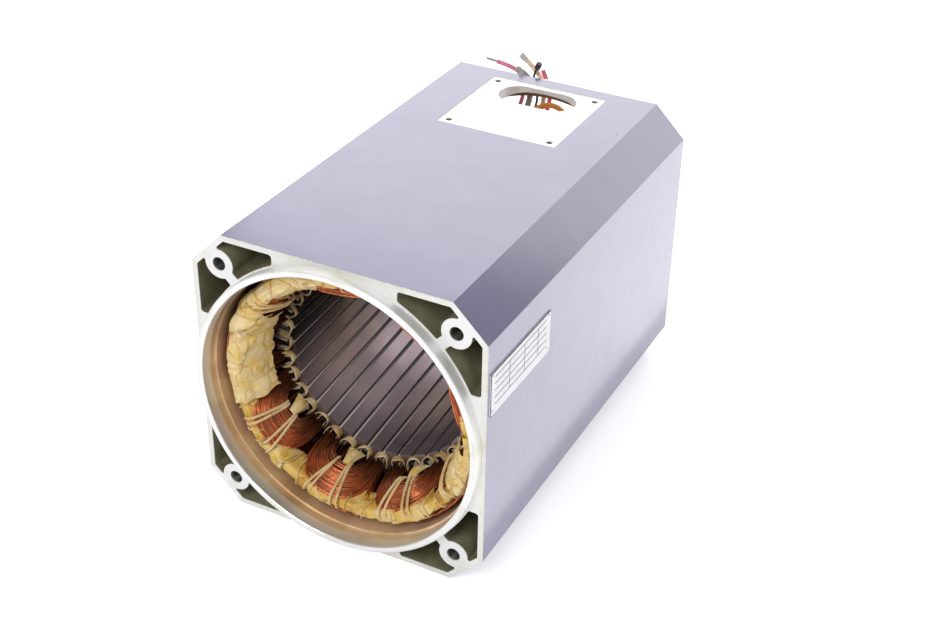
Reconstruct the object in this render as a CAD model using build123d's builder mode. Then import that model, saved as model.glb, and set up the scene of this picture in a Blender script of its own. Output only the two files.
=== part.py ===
"""Stator of a square-bodied electric motor: extruded housing, slotted core and winding.

Frame: +X to the right seen from the drive end, +Y towards the rear, +Z up.
The origin is on the floor under the middle of the housing. Lengths are in millimetres.
"""

import os
from math import cos, radians, sin, tan

from build123d import *

# Housing extrusion
housing_width = 190.0
housing_length = 290.0
corner_chamfer = 21.2
flat_wall = 3.5
chamfer_wall = 3.6
bore_wall = 7.0
tube_wall = 6.0
pocket_end_share = 0.42
pocket_rounding = 1.0
pocket_end_rounding = 2.0

# Corner bosses with their screw channels
bolt_inset = 19.0
boss_radius = 9.3
channel_radius = 4.25
inner_web_width = 7.0
outer_web_width = 12.7

# Spigot rings at both ends, with the register turned inside them
spigot_wall = 4.0
spigot_height = 7.6
register_step = 1.0
register_depth = 13.5
ring_edge_break = 0.5

# Terminal box seat on the top face, with an oblong hole for the leads over a turned relief
pad_size = 84.0
pad_rear_gap = 53.0
pad_recess = 0.4
lead_hole_length = 55.0
lead_hole_width = 28.5
lead_hole_shift = 22.3
relief_skin = 3.6
relief_margin = 3.5
pad_screw_spacing = 72.0
pad_screw_radius = 2.1
pad_screw_depth = 7.0

# Nameplate on the right face
plate_length = 76.0
plate_height = 28.0
plate_thickness = 0.6
plate_rounding = 1.5
plate_front_gap = 3.0
plate_rise = 40.5

# Laminated core
core_front_depth = 50.0
core_rear_depth = 113.0
back_iron = 8.0
slot_depth = 19.0
core_seat_clearance = 0.05
slot_count = 36
slot_lead = 5715.0
slot_mouth_width = 2.4
slot_mouth_depth = 1.0
slot_shoulder_depth = 2.6
tooth_width = 5.8

# Slot insulation
slot_clearance = 0.1
wedge_thickness = 1.9
liner_thickness = 0.35
cuff_reach = 5.0

# Winding
phase_names = ("u", "v", "w")
slots_per_belt = 3
leg_gap = 1.1
lean_deg = -13.0
leg_middle_share = 0.5
lean_middle_share = 0.35
swell_middle_share = 0.6

# Laced rolls of the winding heads
roll_wall_gap = 4.0
roll_width = 15.0
roll_length = 19.0
roll_bevel = 4.4
front_head_length = 41.0
rear_head_length = 38.0
lacing_count = 18
lacing_width = 2.4
lacing_thickness = 1.1
lacing_clearance = 0.2

# Phase papers between the belts
paper_thickness = 0.4
paper_rise = 1.6

# Leads: cover diameter and route, from the rear roll out of the rear mouth and up behind it.
# Routes are measured from the rear end and the top face, after a start on the roll.
lead_start_gap = 0.8
lead_diameters = {
    "pink": 3.0, "grey": 4.2, "cream": 3.4, "black": 1.7, "red": 3.2, "orange": 3.8,
}
lead_tip_diameters = {"pink": 1.7, "cream": 4.0, "black": 4.2}
lead_tip_lengths = {"pink": 8.0, "cream": 5.0, "black": 4.2}
lead_starts = {
    "pink": (-39, -26.5),
    "grey": (-33.5, -23.5),
    "cream": (-16, -17.5),
    "black": (-21, -19),
    "red": (-10.5, -16.5),
    "orange": (6, -16),
}
lead_routes = {
    "pink": [
        (-39, -53, -30), (-36.5, -31, -33.5), (-34, -11, -35.5), (-32, 5, -33),
        (-31, 14, -23), (-32, 16.5, -11), (-38, 15.5, -2.7), (-52, 13.5, -0.2),
    ],
    "grey": [
        (-32, -53, -28), (-30, -32, -32), (-27.5, -12, -34.5), (-25.5, 2, -33),
        (-24.5, 10.5, -24), (-24.3, 12, -13), (-27, 11.5, -4.5), (-35.5, 11, -1.2),
    ],
    "cream": [
        (-15.5, -53, -24), (-15, -32, -29), (-14.5, -12, -31.5), (-14, 3, -30),
        (-14, 12.5, -21.5), (-16.5, 16, -11), (-21.5, 16, -2.5), (-30.5, 15, 5),
    ],
    "black": [
        (-21, -53, -24.5), (-20.5, -32, -29.5), (-19.5, -12, -32), (-18.5, 2, -30.5),
        (-18, 10.2, -22), (-19.5, 10.8, -12), (-23, 10.4, -4.5), (-19.5, 10.2, 2.5),
    ],
    "red": [
        (-10, -53, -23), (-10, -32, -28.5), (-9.5, -12, -31), (-9, 3, -29.5),
        (-9.2, 12, -21), (-12, 15.5, -11), (-17.5, 15.5, -0.5),
    ],
    "orange": [
        (9, -55, -25), (12, -35, -31), (14, -17, -32), (12.5, -4, -28),
        (6, 3, -22.5), (-3, 5.5, -20), (-11, 4.8, -21.5), (-17, 2.5, -25),
    ],
}
run_share = 0.45

# Values that follow from the sizes above
cut_overrun = 1.0
axis_height = housing_width / 2
front_y = -housing_length / 2
rear_y = housing_length / 2
bore_radius = axis_height - bore_wall
tube_outer_radius = bore_radius + tube_wall
pocket_end = pocket_end_share * axis_height
bolt_spacing = housing_width - 2 * bolt_inset
register_radius = bore_radius + register_step
spigot_radius = register_radius + spigot_wall
pad_y = rear_y - pad_rear_gap
lead_hole_y = pad_y + lead_hole_shift
core_front_y = front_y + core_front_depth
core_rear_y = rear_y - core_rear_depth
core_length = core_rear_y - core_front_y
slot_bottom_radius = bore_radius - back_iron
rotor_bore_radius = slot_bottom_radius - slot_depth
roll_outer_radius = bore_radius - roll_wall_gap
roll_inner_radius = roll_outer_radius - roll_width
slot_pitch_deg = 360 / slot_count
motor_axis = Axis((0, 0, axis_height), (0, -1, 0))
winding_seat = lacing_thickness + 2 * lacing_clearance
mouth_radius = rotor_bore_radius + slot_mouth_depth
shoulder_radius = rotor_bore_radius + slot_shoulder_depth
wedge_outer_radius = mouth_radius + slot_clearance + wedge_thickness
liner_inner_radius = wedge_outer_radius + slot_clearance
coil_inner_radius = liner_inner_radius + slot_clearance
coil_outer_radius = slot_bottom_radius - liner_thickness - 2 * slot_clearance
front_roll_y = core_front_y - front_head_length
rear_roll_y = core_rear_y + rear_head_length


def section(y):
    """Plane across the motor axis at y, facing the front, with +X right and +Z up."""
    return Plane((0, y, axis_height), x_dir=(1, 0, 0), z_dir=(0, -1, 0))


def rear_section(y):
    """Plane across the motor axis at y, facing the rear."""
    return Plane((0, y, axis_height), x_dir=(-1, 0, 0), z_dir=(0, 1, 0))


def radial_plane(y, angle):
    """Cross plane whose x axis points along the radius at angle."""
    turn = radians(angle)
    return Plane((0, y, axis_height), x_dir=(cos(turn), 0, sin(turn)), z_dir=(0, -1, 0))


def slot_angle(y):
    """Angle of the skewed slot line at y, one turn in a lead and zero at the core's front."""
    return -360 * (y - core_front_y) / slot_lead


def half_width(radius, inset):
    """Half of the slot's width between straight-sided teeth, less an inset."""
    return radius * tan(radians(slot_pitch_deg / 2)) - tooth_width / 2 - inset


def mirrored(points):
    """Close an outline of (radius, across) points by mirroring it across the slot line."""
    return points + [(radius, -across) for radius, across in reversed(points)]


def lofted_bar(stations):
    """Ruled loft through (y, angle, outline) stations, each outline in radius and across."""
    with BuildPart() as bar:
        for y, angle, outline in stations:
            with BuildSketch(radial_plane(y, angle)):
                with BuildLine():
                    Polyline(*outline, close=True)
                make_face()
        loft(ruled=True)
    return bar.part


def skewed_bar(outline, overreach):
    """Bar of one outline along the skewed slot, reaching past both ends of the core."""
    start_y = core_front_y - overreach
    end_y = core_rear_y + overreach
    return lofted_bar([(y, slot_angle(y), outline) for y in (start_y, end_y)])


def turned_copies(shape, steps):
    """Copies of a shape at the given slot steps round the motor axis."""
    return [shape.rotate(motor_axis, step * slot_pitch_deg) for step in steps]


def is_pocket_tip(vertex):
    """True for the corners of a pocket near its boss, away from its blunt end."""
    return min(abs(vertex.X), abs(vertex.Y)) > pocket_end + 2 * pocket_end_rounding


# Housing
with BuildPart() as housing:
    with BuildSketch(section(rear_y)) as outline:
        Rectangle(housing_width, housing_width)
        chamfer(outline.vertices(), length=corner_chamfer)
    extrude(amount=housing_length)

    # Hollow corners of the extrusion, left open round bosses and webs
    inner_half = axis_height - flat_wall
    inner_chamfer = corner_chamfer - 2 * flat_wall + chamfer_wall * 2**0.5
    corner_reach = bolt_spacing / 2 * 2**0.5
    with BuildSketch(section(rear_y)) as pockets:
        Rectangle(2 * inner_half, 2 * inner_half)
        chamfer(pockets.vertices(), length=inner_chamfer)
        Circle(tube_outer_radius, mode=Mode.SUBTRACT)
        Rectangle(2 * pocket_end, housing_width, mode=Mode.SUBTRACT)
        Rectangle(housing_width, 2 * pocket_end, mode=Mode.SUBTRACT)
        with GridLocations(bolt_spacing, bolt_spacing, 2, 2):
            Circle(boss_radius, mode=Mode.SUBTRACT)
        with PolarLocations(corner_reach / 2, 4, start_angle=45):
            Rectangle(corner_reach, inner_web_width, mode=Mode.SUBTRACT)
        with PolarLocations(corner_reach + corner_chamfer / 2, 4, start_angle=45):
            Rectangle(corner_chamfer, outer_web_width, mode=Mode.SUBTRACT)
        end_corners = pockets.vertices().filter_by(is_pocket_tip, reverse=True)
        fillet(end_corners, radius=pocket_end_rounding)
        fillet(pockets.vertices().filter_by(is_pocket_tip), radius=pocket_rounding)
    extrude(amount=housing_length, mode=Mode.SUBTRACT)

    # Spigot rings, main bore and the two registers
    for plane in (section(front_y), rear_section(rear_y)):
        with BuildSketch(plane):
            Circle(spigot_radius)
        extrude(amount=spigot_height)
    with BuildSketch(section(rear_y + spigot_height)):
        Circle(bore_radius)
    extrude(amount=housing_length + 2 * spigot_height, mode=Mode.SUBTRACT)
    for plane in (section(front_y - spigot_height), rear_section(rear_y + spigot_height)):
        with BuildSketch(plane):
            Circle(register_radius)
        extrude(amount=-register_depth, mode=Mode.SUBTRACT)
    ring_edges = housing.edges().group_by(Axis.Y)
    chamfer(ring_edges[0] + ring_edges[-1], length=ring_edge_break)

    # Screw channels for the end shields, through the whole length
    with BuildSketch(section(rear_y)):
        with GridLocations(bolt_spacing, bolt_spacing, 2, 2):
            Circle(channel_radius)
    extrude(amount=housing_length, mode=Mode.SUBTRACT)

    # Machined seat of the terminal box, its lead opening and screw holes
    top_plane = Plane((0, pad_y, housing_width))
    with BuildSketch(top_plane):
        Rectangle(pad_size, pad_size)
    extrude(amount=-pad_recess, mode=Mode.SUBTRACT)
    with BuildSketch(Plane((0, lead_hole_y, housing_width))):
        SlotOverall(lead_hole_length, lead_hole_width)
    extrude(amount=-axis_height, mode=Mode.SUBTRACT)
    relief_length = lead_hole_width + 2 * relief_margin
    with BuildSketch(section(lead_hole_y)):
        Circle(axis_height - relief_skin)
    extrude(amount=relief_length / 2, both=True, mode=Mode.SUBTRACT)
    with Locations(top_plane.offset(-pad_recess)):
        with GridLocations(pad_screw_spacing, pad_screw_spacing, 2, 2):
            Hole(pad_screw_radius, depth=pad_screw_depth)

# Nameplate
plate_plane = Plane(
    (housing_width / 2, front_y + plate_front_gap + plate_length / 2, axis_height + plate_rise),
    x_dir=(0, 1, 0),
    z_dir=(1, 0, 0),
)
with BuildPart() as nameplate:
    with BuildSketch(plate_plane):
        RectangleRounded(plate_length, plate_height, plate_rounding)
    extrude(amount=plate_thickness)

# Slotted core: the slots run askew, so that each leans across about one tooth
slot_outline = mirrored(
    [
        (rotor_bore_radius - cut_overrun, slot_mouth_width / 2),
        (mouth_radius, slot_mouth_width / 2),
        (shoulder_radius, half_width(shoulder_radius, 0)),
        (slot_bottom_radius, half_width(slot_bottom_radius, 0)),
    ]
)
slot_cutter = skewed_bar(slot_outline, cuff_reach)
with BuildPart() as stator_core:
    with BuildSketch(section(core_rear_y)):
        Circle(bore_radius - core_seat_clearance)
        Circle(rotor_bore_radius, mode=Mode.SUBTRACT)
    extrude(amount=core_length)
    add(turned_copies(slot_cutter, range(slot_count)), mode=Mode.SUBTRACT)

# Slot wedges, closing every slot behind its mouth
wedge_outline = mirrored(
    [
        (mouth_radius + slot_clearance, slot_mouth_width / 2),
        (shoulder_radius + slot_clearance, half_width(shoulder_radius, slot_clearance)),
        (wedge_outer_radius, half_width(wedge_outer_radius, slot_clearance)),
    ]
)
wedge = skewed_bar(wedge_outline, 0)
with BuildPart() as slot_wedges:
    add(turned_copies(wedge, range(slot_count)))

# Slot liners: a folded channel in every slot, with cuffs standing out at both ends
liner_inset = slot_clearance + liner_thickness
liner_bottom = slot_bottom_radius - slot_clearance
liner_floor = liner_bottom - liner_thickness
liner_outline = [
    (liner_inner_radius, half_width(liner_inner_radius, slot_clearance)),
    (liner_bottom, half_width(liner_bottom, slot_clearance)),
    (liner_bottom, -half_width(liner_bottom, slot_clearance)),
    (liner_inner_radius, -half_width(liner_inner_radius, slot_clearance)),
    (liner_inner_radius, -half_width(liner_inner_radius, liner_inset)),
    (liner_floor, -half_width(liner_floor, liner_inset)),
    (liner_floor, half_width(liner_floor, liner_inset)),
    (liner_inner_radius, half_width(liner_inner_radius, liner_inset)),
]
liner = skewed_bar(liner_outline, cuff_reach)
with BuildPart() as slot_liners:
    add(turned_copies(liner, range(slot_count)))

# Coils: each fills its slot, then swells and leans over into the rolls at both ends
coil_inset = liner_inset + slot_clearance
slot_fill = mirrored(
    [
        (coil_inner_radius, half_width(coil_inner_radius, coil_inset)),
        (coil_outer_radius, half_width(coil_outer_radius, coil_inset)),
    ]
)
spread_inner = roll_inner_radius + roll_bevel / 2
spread_outer = roll_outer_radius - roll_bevel / 2
leg_half_tan = tan(radians(slot_pitch_deg / 2))
leg_spread = mirrored(
    [
        (spread_inner, spread_inner * leg_half_tan - leg_gap / 2),
        (spread_outer, spread_outer * leg_half_tan - leg_gap / 2),
    ]
)
leg_swell = [
    tuple(a + swell_middle_share * (b - a) for a, b in zip(low, high))
    for low, high in zip(slot_fill, leg_spread)
]


def head_stations(core_y, head_length, outward, outlines):
    """Stations of one winding head, from the cuff's end to the back of the roll."""
    cuff_y = core_y + outward * cuff_reach
    roll_back_y = core_y + outward * (head_length - roll_length - winding_seat)
    middle_y = cuff_y + leg_middle_share * (roll_back_y - cuff_y)
    start = slot_angle(cuff_y)
    return [
        (cuff_y, start, outlines[0]),
        (middle_y, start + lean_middle_share * lean_deg, outlines[1]),
        (roll_back_y, start + lean_deg, outlines[2]),
    ]


coil_outlines = (slot_fill, leg_swell, leg_spread)
front_stations = head_stations(core_front_y, front_head_length, -1, coil_outlines)
rear_stations = head_stations(core_rear_y, rear_head_length, 1, coil_outlines)
coil = lofted_bar(list(reversed(front_stations)) + rear_stations)
windings = {}
for index, phase in enumerate(phase_names):
    belt_slots = [
        slot
        for slot in range(slot_count)
        if slot // slots_per_belt % len(phase_names) == index
    ]
    with BuildPart() as winding:
        add(turned_copies(coil, belt_slots))
    windings[phase] = winding.part

# Rolls of the winding heads and the cord lacing round them
half_plane = Plane((0, 0, axis_height), x_dir=(0, 1, 0), z_dir=(1, 0, 0))
roll_middle_radius = (roll_outer_radius + roll_inner_radius) / 2
roll_middles = {
    "front": front_roll_y + roll_length / 2,
    "rear": rear_roll_y - roll_length / 2,
}
rolls = {}
lacings = {}
for end, middle_y in roll_middles.items():
    with BuildPart() as roll:
        with BuildSketch(half_plane) as roll_outline:
            with Locations((middle_y, roll_middle_radius)):
                Rectangle(roll_length, roll_width)
            chamfer(roll_outline.vertices(), length=roll_bevel)
        revolve(axis=motor_axis)
    rolls[end] = roll.part
    with BuildPart() as loop:
        for allowance, mode in (
            (lacing_clearance + lacing_thickness, Mode.ADD),
            (lacing_clearance, Mode.SUBTRACT),
        ):
            with BuildSketch(half_plane) as loop_outline:
                with Locations((middle_y, roll_middle_radius)):
                    Rectangle(roll_length + 2 * allowance, roll_width + 2 * allowance)
                chamfer(loop_outline.vertices(), length=roll_bevel)
            extrude(amount=lacing_width / 2, both=True, mode=mode)
    with BuildPart() as lacing:
        lacing_step = slot_count / lacing_count
        add(turned_copies(loop.part, [turn * lacing_step for turn in range(lacing_count)]))
    lacings[end] = lacing.part

# Phase papers: thin leaves standing between neighbouring belts
belt_count = slot_count // slots_per_belt
papers = {}
for end, stations in (("front", front_stations), ("rear", rear_stations)):
    leaf_stations = []
    for y, angle, outline in stations:
        inner = outline[0][0] - paper_rise
        outer = outline[1][0]
        leaf_outline = mirrored([(inner, paper_thickness / 2), (outer, paper_thickness / 2)])
        leaf_stations.append((y, angle - slot_pitch_deg / 2, leaf_outline))
    leaf = lofted_bar(leaf_stations)
    with BuildPart() as leaves:
        add(turned_copies(leaf, [belt * slots_per_belt for belt in range(belt_count)]))
    papers[end] = leaves.part

# Leads out of the rear winding head, some with a tip on the end
leads = {}
tips = {}
for colour, route in lead_routes.items():
    start_x, start_drop = lead_starts[colour]
    points = [Vector(start_x, rear_roll_y + lead_start_gap, housing_width + start_drop)]
    points += [Vector(x, rear_y + back, housing_width + rise) for x, back, rise in route]
    runs = [after - before for before, after in zip(points, points[1:])]
    radii = []
    for before, after in zip(runs, runs[1:]):
        shorter = min(before.length, after.length)
        radii.append(run_share * shorter / tan(radians(before.get_angle(after) / 2)))
    print(colour, "bend radii", [round(radius, 1) for radius in radii])
    with BuildPart() as lead:
        with BuildLine() as path:
            FilletPolyline(*points, radius=radii)
        with BuildSketch(Plane(points[0], z_dir=runs[0])):
            Circle(lead_diameters[colour] / 2)
        sweep()
    leads[colour] = lead.part
    if colour in lead_tip_lengths:
        with BuildPart() as tip:
            with BuildSketch(Plane(points[-1], z_dir=runs[-1])):
                Circle(lead_tip_diameters[colour] / 2)
            extrude(amount=lead_tip_lengths[colour])
        tips[colour] = tip.part

# Write one file for every named piece
pieces = {
    "housing": housing.part,
    "nameplate": nameplate.part,
    "stator_core": stator_core.part,
    "slot_wedges": slot_wedges.part,
    "slot_liners": slot_liners.part,
}
pieces.update({f"winding_phase_{phase}": shape for phase, shape in windings.items()})
for end in roll_middles:
    pieces[f"{end}_head_roll"] = rolls[end]
    pieces[f"{end}_head_lacing"] = lacings[end]
    pieces[f"{end}_phase_papers"] = papers[end]
pieces.update({f"lead_{colour}": shape for colour, shape in leads.items()})
pieces.update({f"lead_{colour}_tip": shape for colour, shape in tips.items()})

os.makedirs("parts", exist_ok=True)
for name, shape in pieces.items():
    shape.label = name
    export_step(shape, f"parts/{name}.step")
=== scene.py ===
"""Looks of an electric motor stator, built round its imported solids.

Frame: +X to the right seen from the drive end, +Y towards the rear, +Z up, lengths in metres.
Round the motor axis, places are given by an angle in degrees (counter-clockwise seen from the
front, zero along +X), a radius, and a depth counted outwards from the end face of the core.
"""

from __future__ import annotations

import logging
import math
import random
from collections.abc import Callable, Iterable, Sequence
from dataclasses import dataclass, field
from enum import Enum

import bmesh
import bpy
from mathutils import Euler, Matrix, Vector, noise

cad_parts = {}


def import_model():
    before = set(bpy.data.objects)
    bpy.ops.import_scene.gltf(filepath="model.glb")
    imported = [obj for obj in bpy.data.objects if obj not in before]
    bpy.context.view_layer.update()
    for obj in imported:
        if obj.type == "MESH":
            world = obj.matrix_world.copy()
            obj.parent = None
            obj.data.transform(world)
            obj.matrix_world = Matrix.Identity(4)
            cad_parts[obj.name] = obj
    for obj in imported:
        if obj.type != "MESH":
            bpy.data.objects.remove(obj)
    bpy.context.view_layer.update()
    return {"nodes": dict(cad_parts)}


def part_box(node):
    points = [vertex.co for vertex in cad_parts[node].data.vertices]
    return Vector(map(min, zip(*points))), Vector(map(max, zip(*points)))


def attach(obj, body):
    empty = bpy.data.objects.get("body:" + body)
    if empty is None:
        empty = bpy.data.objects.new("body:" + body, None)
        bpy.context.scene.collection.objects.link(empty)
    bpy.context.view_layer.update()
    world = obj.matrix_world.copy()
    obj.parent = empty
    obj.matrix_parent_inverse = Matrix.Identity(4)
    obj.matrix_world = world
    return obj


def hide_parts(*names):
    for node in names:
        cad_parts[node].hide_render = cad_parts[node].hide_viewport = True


LOG = logging.getLogger("stator")
MM = 0.001
AXIS_Z = 95 * MM
FULL_TURN = 360
MERGE_GAP = 0.001 * MM
SEED = 7
REAR_SKEW_DEG = -8.0
Colour = tuple[float, float, float]
Point = tuple[float, float, float]
Span = tuple[float, float]


class HeadEnd(Enum):
    """The two winding heads, with the direction that leads outwards from the core."""

    FRONT = -1
    REAR = 1


class MixKind(Enum):
    """What a Mix node blends, with the numbers of its two inputs and its output."""

    FLOAT = (2, 3, 0)
    RGBA = (6, 7, 2)


class CopperTone(Enum):
    """Shades of the enamelled wire, from fresh to varnished dark; the dark one also serves as painted shade
    on wires beneath and behind others.
    """

    BRIGHT = (0.82, 0.25, 0.10)
    WARM = (0.42, 0.085, 0.040)
    DARK = (0.10, 0.018, 0.011)

    @property
    def slot(self) -> int:
        """Its place among the materials of a copper piece."""
        return list(CopperTone).index(self)


class Paper(Enum):
    """Papers, tapes and cords of the winding, each with its pale, deep and stained colour."""

    ROLL_TAPE_YELLOW = ((0.92, 0.66, 0.19), (0.74, 0.44, 0.09), (0.93, 0.62, 0.02))
    ROLL_TAPE_CREAM = ((0.94, 0.74, 0.34), (0.80, 0.55, 0.18), (0.93, 0.64, 0.03))
    ROLL_TAPE_AMBER = ((0.78, 0.47, 0.08), (0.50, 0.25, 0.03), (0.93, 0.62, 0.01))
    CUFF_PAPER = ((0.80, 0.67, 0.38), (0.60, 0.43, 0.18), (0.48, 0.24, 0.05))
    WRAP_PAPER = ((0.95, 0.78, 0.43), (0.83, 0.59, 0.21), (0.93, 0.60, 0.02))
    LACING_CORD = ((0.90, 0.71, 0.40), (0.76, 0.53, 0.23), (0.82, 0.52, 0.08))
    TIE_THREAD = ((0.66, 0.47, 0.19), (0.42, 0.26, 0.08), (0.72, 0.46, 0.04))
    SLOT_PAPER = ((0.66, 0.60, 0.50), (0.50, 0.42, 0.32), (0.4, 0.3, 0.2))


class PlateInk(Enum):
    """Finishes on the nameplate's face, each with its colour, roughness and share of metal."""

    # Dark line painted as the plate's shadow gap.
    PLATE_BORDER = ((0.02, 0.014, 0.024), 0.9, 0.0)
    RIVET_METAL = ((0.6, 0.6, 0.62), 0.3, 0.8)
    PLATE_PRINT = ((0.22, 0.20, 0.23), 0.9, 0.0)

    @property
    def slot(self) -> int:
        """Its place among the materials of the plate's rules."""
        return list(PlateInk).index(self)


class LeadName(Enum):
    """The motor leads, with the colour of each cover."""

    PINK = (0.80, 0.20, 0.30)
    GREY = (0.34, 0.31, 0.31)
    CREAM = (0.88, 0.60, 0.40)
    BLACK = (0.018, 0.016, 0.018)
    RED = (0.76, 0.14, 0.24)
    ORANGE = (0.90, 0.33, 0.06)


@dataclass(frozen=True)
class Grain:
    """Noise in a finish: waves a metre, octaves, the values it rises between, scale of each axis."""

    scale: float
    detail: float
    span: Span = (0.3, 0.7)
    stretch: Point = (1, 1, 1)


@dataclass(frozen=True)
class Waves:
    """Smooth waves on a head: how many go round, how many go along the section, which pattern."""

    round_count: float
    along_count: float
    layer: float = 0.0


class Shader:
    """Node layout of one material, always read on the piece's own Object coordinates."""

    def __init__(self, name: str) -> None:
        """Start a material with an empty Principled surface.

        Args:
            name: Name of the material.
        """
        self.material = bpy.data.materials.new(name)
        self.material.use_nodes = True
        self.tree = self.material.node_tree
        self.surface = self.tree.nodes["Principled BSDF"]
        self.place = self.tree.nodes.new("ShaderNodeTexCoord").outputs["Object"]

    def link(self, source: bpy.types.NodeSocket, target: bpy.types.NodeSocket) -> None:
        """Join two sockets."""
        self.tree.links.new(source, target)

    def feed(self, value: object, socket: bpy.types.NodeSocket) -> None:
        """Give a socket a value, or link it where the value is a socket.

        Args:
            value: A number, a colour or an output socket.
            socket: The input that takes it.
        """
        if isinstance(value, bpy.types.NodeSocket):
            self.link(value, socket)
        elif isinstance(value, tuple) and socket.type == "RGBA":
            socket.default_value = (*value, 1.0)
        else:
            socket.default_value = value

    def noise(self, grain: Grain) -> bpy.types.NodeSocket:
        """Noise on the object's coordinates.

        Args:
            grain: Its scale, octaves and stretch.

        Returns:
            The noise value, about 0.3 to 0.7.
        """
        mapping = self.tree.nodes.new("ShaderNodeMapping")
        mapping.inputs["Scale"].default_value = grain.stretch
        self.link(self.place, mapping.inputs["Vector"])
        texture = self.tree.nodes.new("ShaderNodeTexNoise")
        texture.inputs["Scale"].default_value = grain.scale
        texture.inputs["Detail"].default_value = grain.detail
        self.link(mapping.outputs["Vector"], texture.inputs["Vector"])
        return texture.outputs["Fac"]

    def patches(self, grain: Grain) -> bpy.types.NodeSocket:
        """Rise from 0 to 1 as a grain's noise goes through its span."""
        return self.band(self.noise(grain), *grain.span)

    def axis(self, letter: str) -> bpy.types.NodeSocket:
        """One coordinate of the object's place.

        Args:
            letter: X, Y or Z.

        Returns:
            The coordinate.
        """
        split = self.tree.nodes.new("ShaderNodeSeparateXYZ")
        self.link(self.place, split.inputs["Vector"])
        return split.outputs[letter]

    def rise(self) -> bpy.types.NodeSocket:
        """Height above the motor axis."""
        return self.math("SUBTRACT", self.axis("Z"), AXIS_Z)

    def math(self, operation: str, *values: object) -> bpy.types.NodeSocket:
        """Arithmetic on numbers and sockets.

        Args:
            operation: Name of the operation, as in ADD or MAXIMUM.
            values: Its numbers or sockets.

        Returns:
            The result.
        """
        step = self.tree.nodes.new("ShaderNodeMath")
        step.operation = operation
        for value, socket in zip(values, step.inputs):
            self.feed(value, socket)
        return step.outputs["Value"]

    def product(self, first: object, *factors: object) -> bpy.types.NodeSocket:
        """Multiply numbers and sockets together.

        Args:
            first: The first factor.
            factors: The others.

        Returns:
            The product.
        """
        for factor in factors:
            first = self.math("MULTIPLY", first, factor)
        return first

    def reverse(self, share: bpy.types.NodeSocket) -> bpy.types.NodeSocket:
        """What a share leaves of one."""
        return self.math("SUBTRACT", 1.0, share)

    def band(self, value: object, low: float, high: float) -> bpy.types.NodeSocket:
        """Rise from 0 to 1 as a value goes from low to high, or fall where low is above high.

        Args:
            value: The number or socket.
            low: Where the result is 0.
            high: Where the result is 1.

        Returns:
            The share.
        """
        step = self.tree.nodes.new("ShaderNodeMapRange")
        self.feed(value, step.inputs["Value"])
        step.inputs["From Min"].default_value = low
        step.inputs["From Max"].default_value = high
        return step.outputs["Result"]

    def mix(self, factor: object, first: object, second: object,
            kind: MixKind = MixKind.RGBA) -> bpy.types.NodeSocket:
        """Blend two colours or two numbers.

        Args:
            factor: Share of the second one.
            first: Value or socket at 0.
            second: Value or socket at 1.
            kind: What they are.

        Returns:
            The blend.
        """
        low, high, result = kind.value
        step = self.tree.nodes.new("ShaderNodeMix")
        step.data_type = kind.name
        self.feed(factor, step.inputs[0])
        self.feed(first, step.inputs[low])
        self.feed(second, step.inputs[high])
        return step.outputs[result]

    def bump(self, height: bpy.types.NodeSocket, distance: float, strength: float = 1.0) -> None:
        """Relief from a height value.

        Args:
            height: The height socket.
            distance: Depth of the relief in metres.
            strength: Share of it that shows.
        """
        relief = self.tree.nodes.new("ShaderNodeBump")
        relief.inputs["Distance"].default_value = distance
        relief.inputs["Strength"].default_value = strength
        self.link(height, relief.inputs["Height"])
        self.link(relief.outputs["Normal"], self.surface.inputs["Normal"])

    def set(self, **values: object) -> None:
        """Set sockets of the surface, named with underscores for spaces."""
        for name, value in values.items():
            self.feed(value, self.surface.inputs[name.replace("_", " ").title().replace("Ior", "IOR")])


@dataclass(frozen=True)
class PlainFinish:
    """Finish of one colour with a faint grain."""

    name: str
    colour: Colour
    roughness: float = 0.55
    metallic: float = 0.0
    grain: Grain = Grain(260.0, 4.0, (0.32, 0.68))
    grain_share: float = 0.25
    relief: float = 0.08 * MM

    def material(self) -> bpy.types.Material:
        """Make the material.

        Returns:
            The finished material.
        """
        shader = Shader(self.name)
        grain = shader.noise(self.grain)
        deep = tuple(channel * (1 - self.grain_share) for channel in self.colour)
        pale = tuple(min(1.0, channel * (1 + self.grain_share)) for channel in self.colour)
        shader.set(
            base_color=shader.mix(shader.band(grain, *self.grain.span), deep, pale),
            roughness=self.roughness,
            metallic=self.metallic,
        )
        shader.bump(grain, self.relief)
        return shader.material


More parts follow.
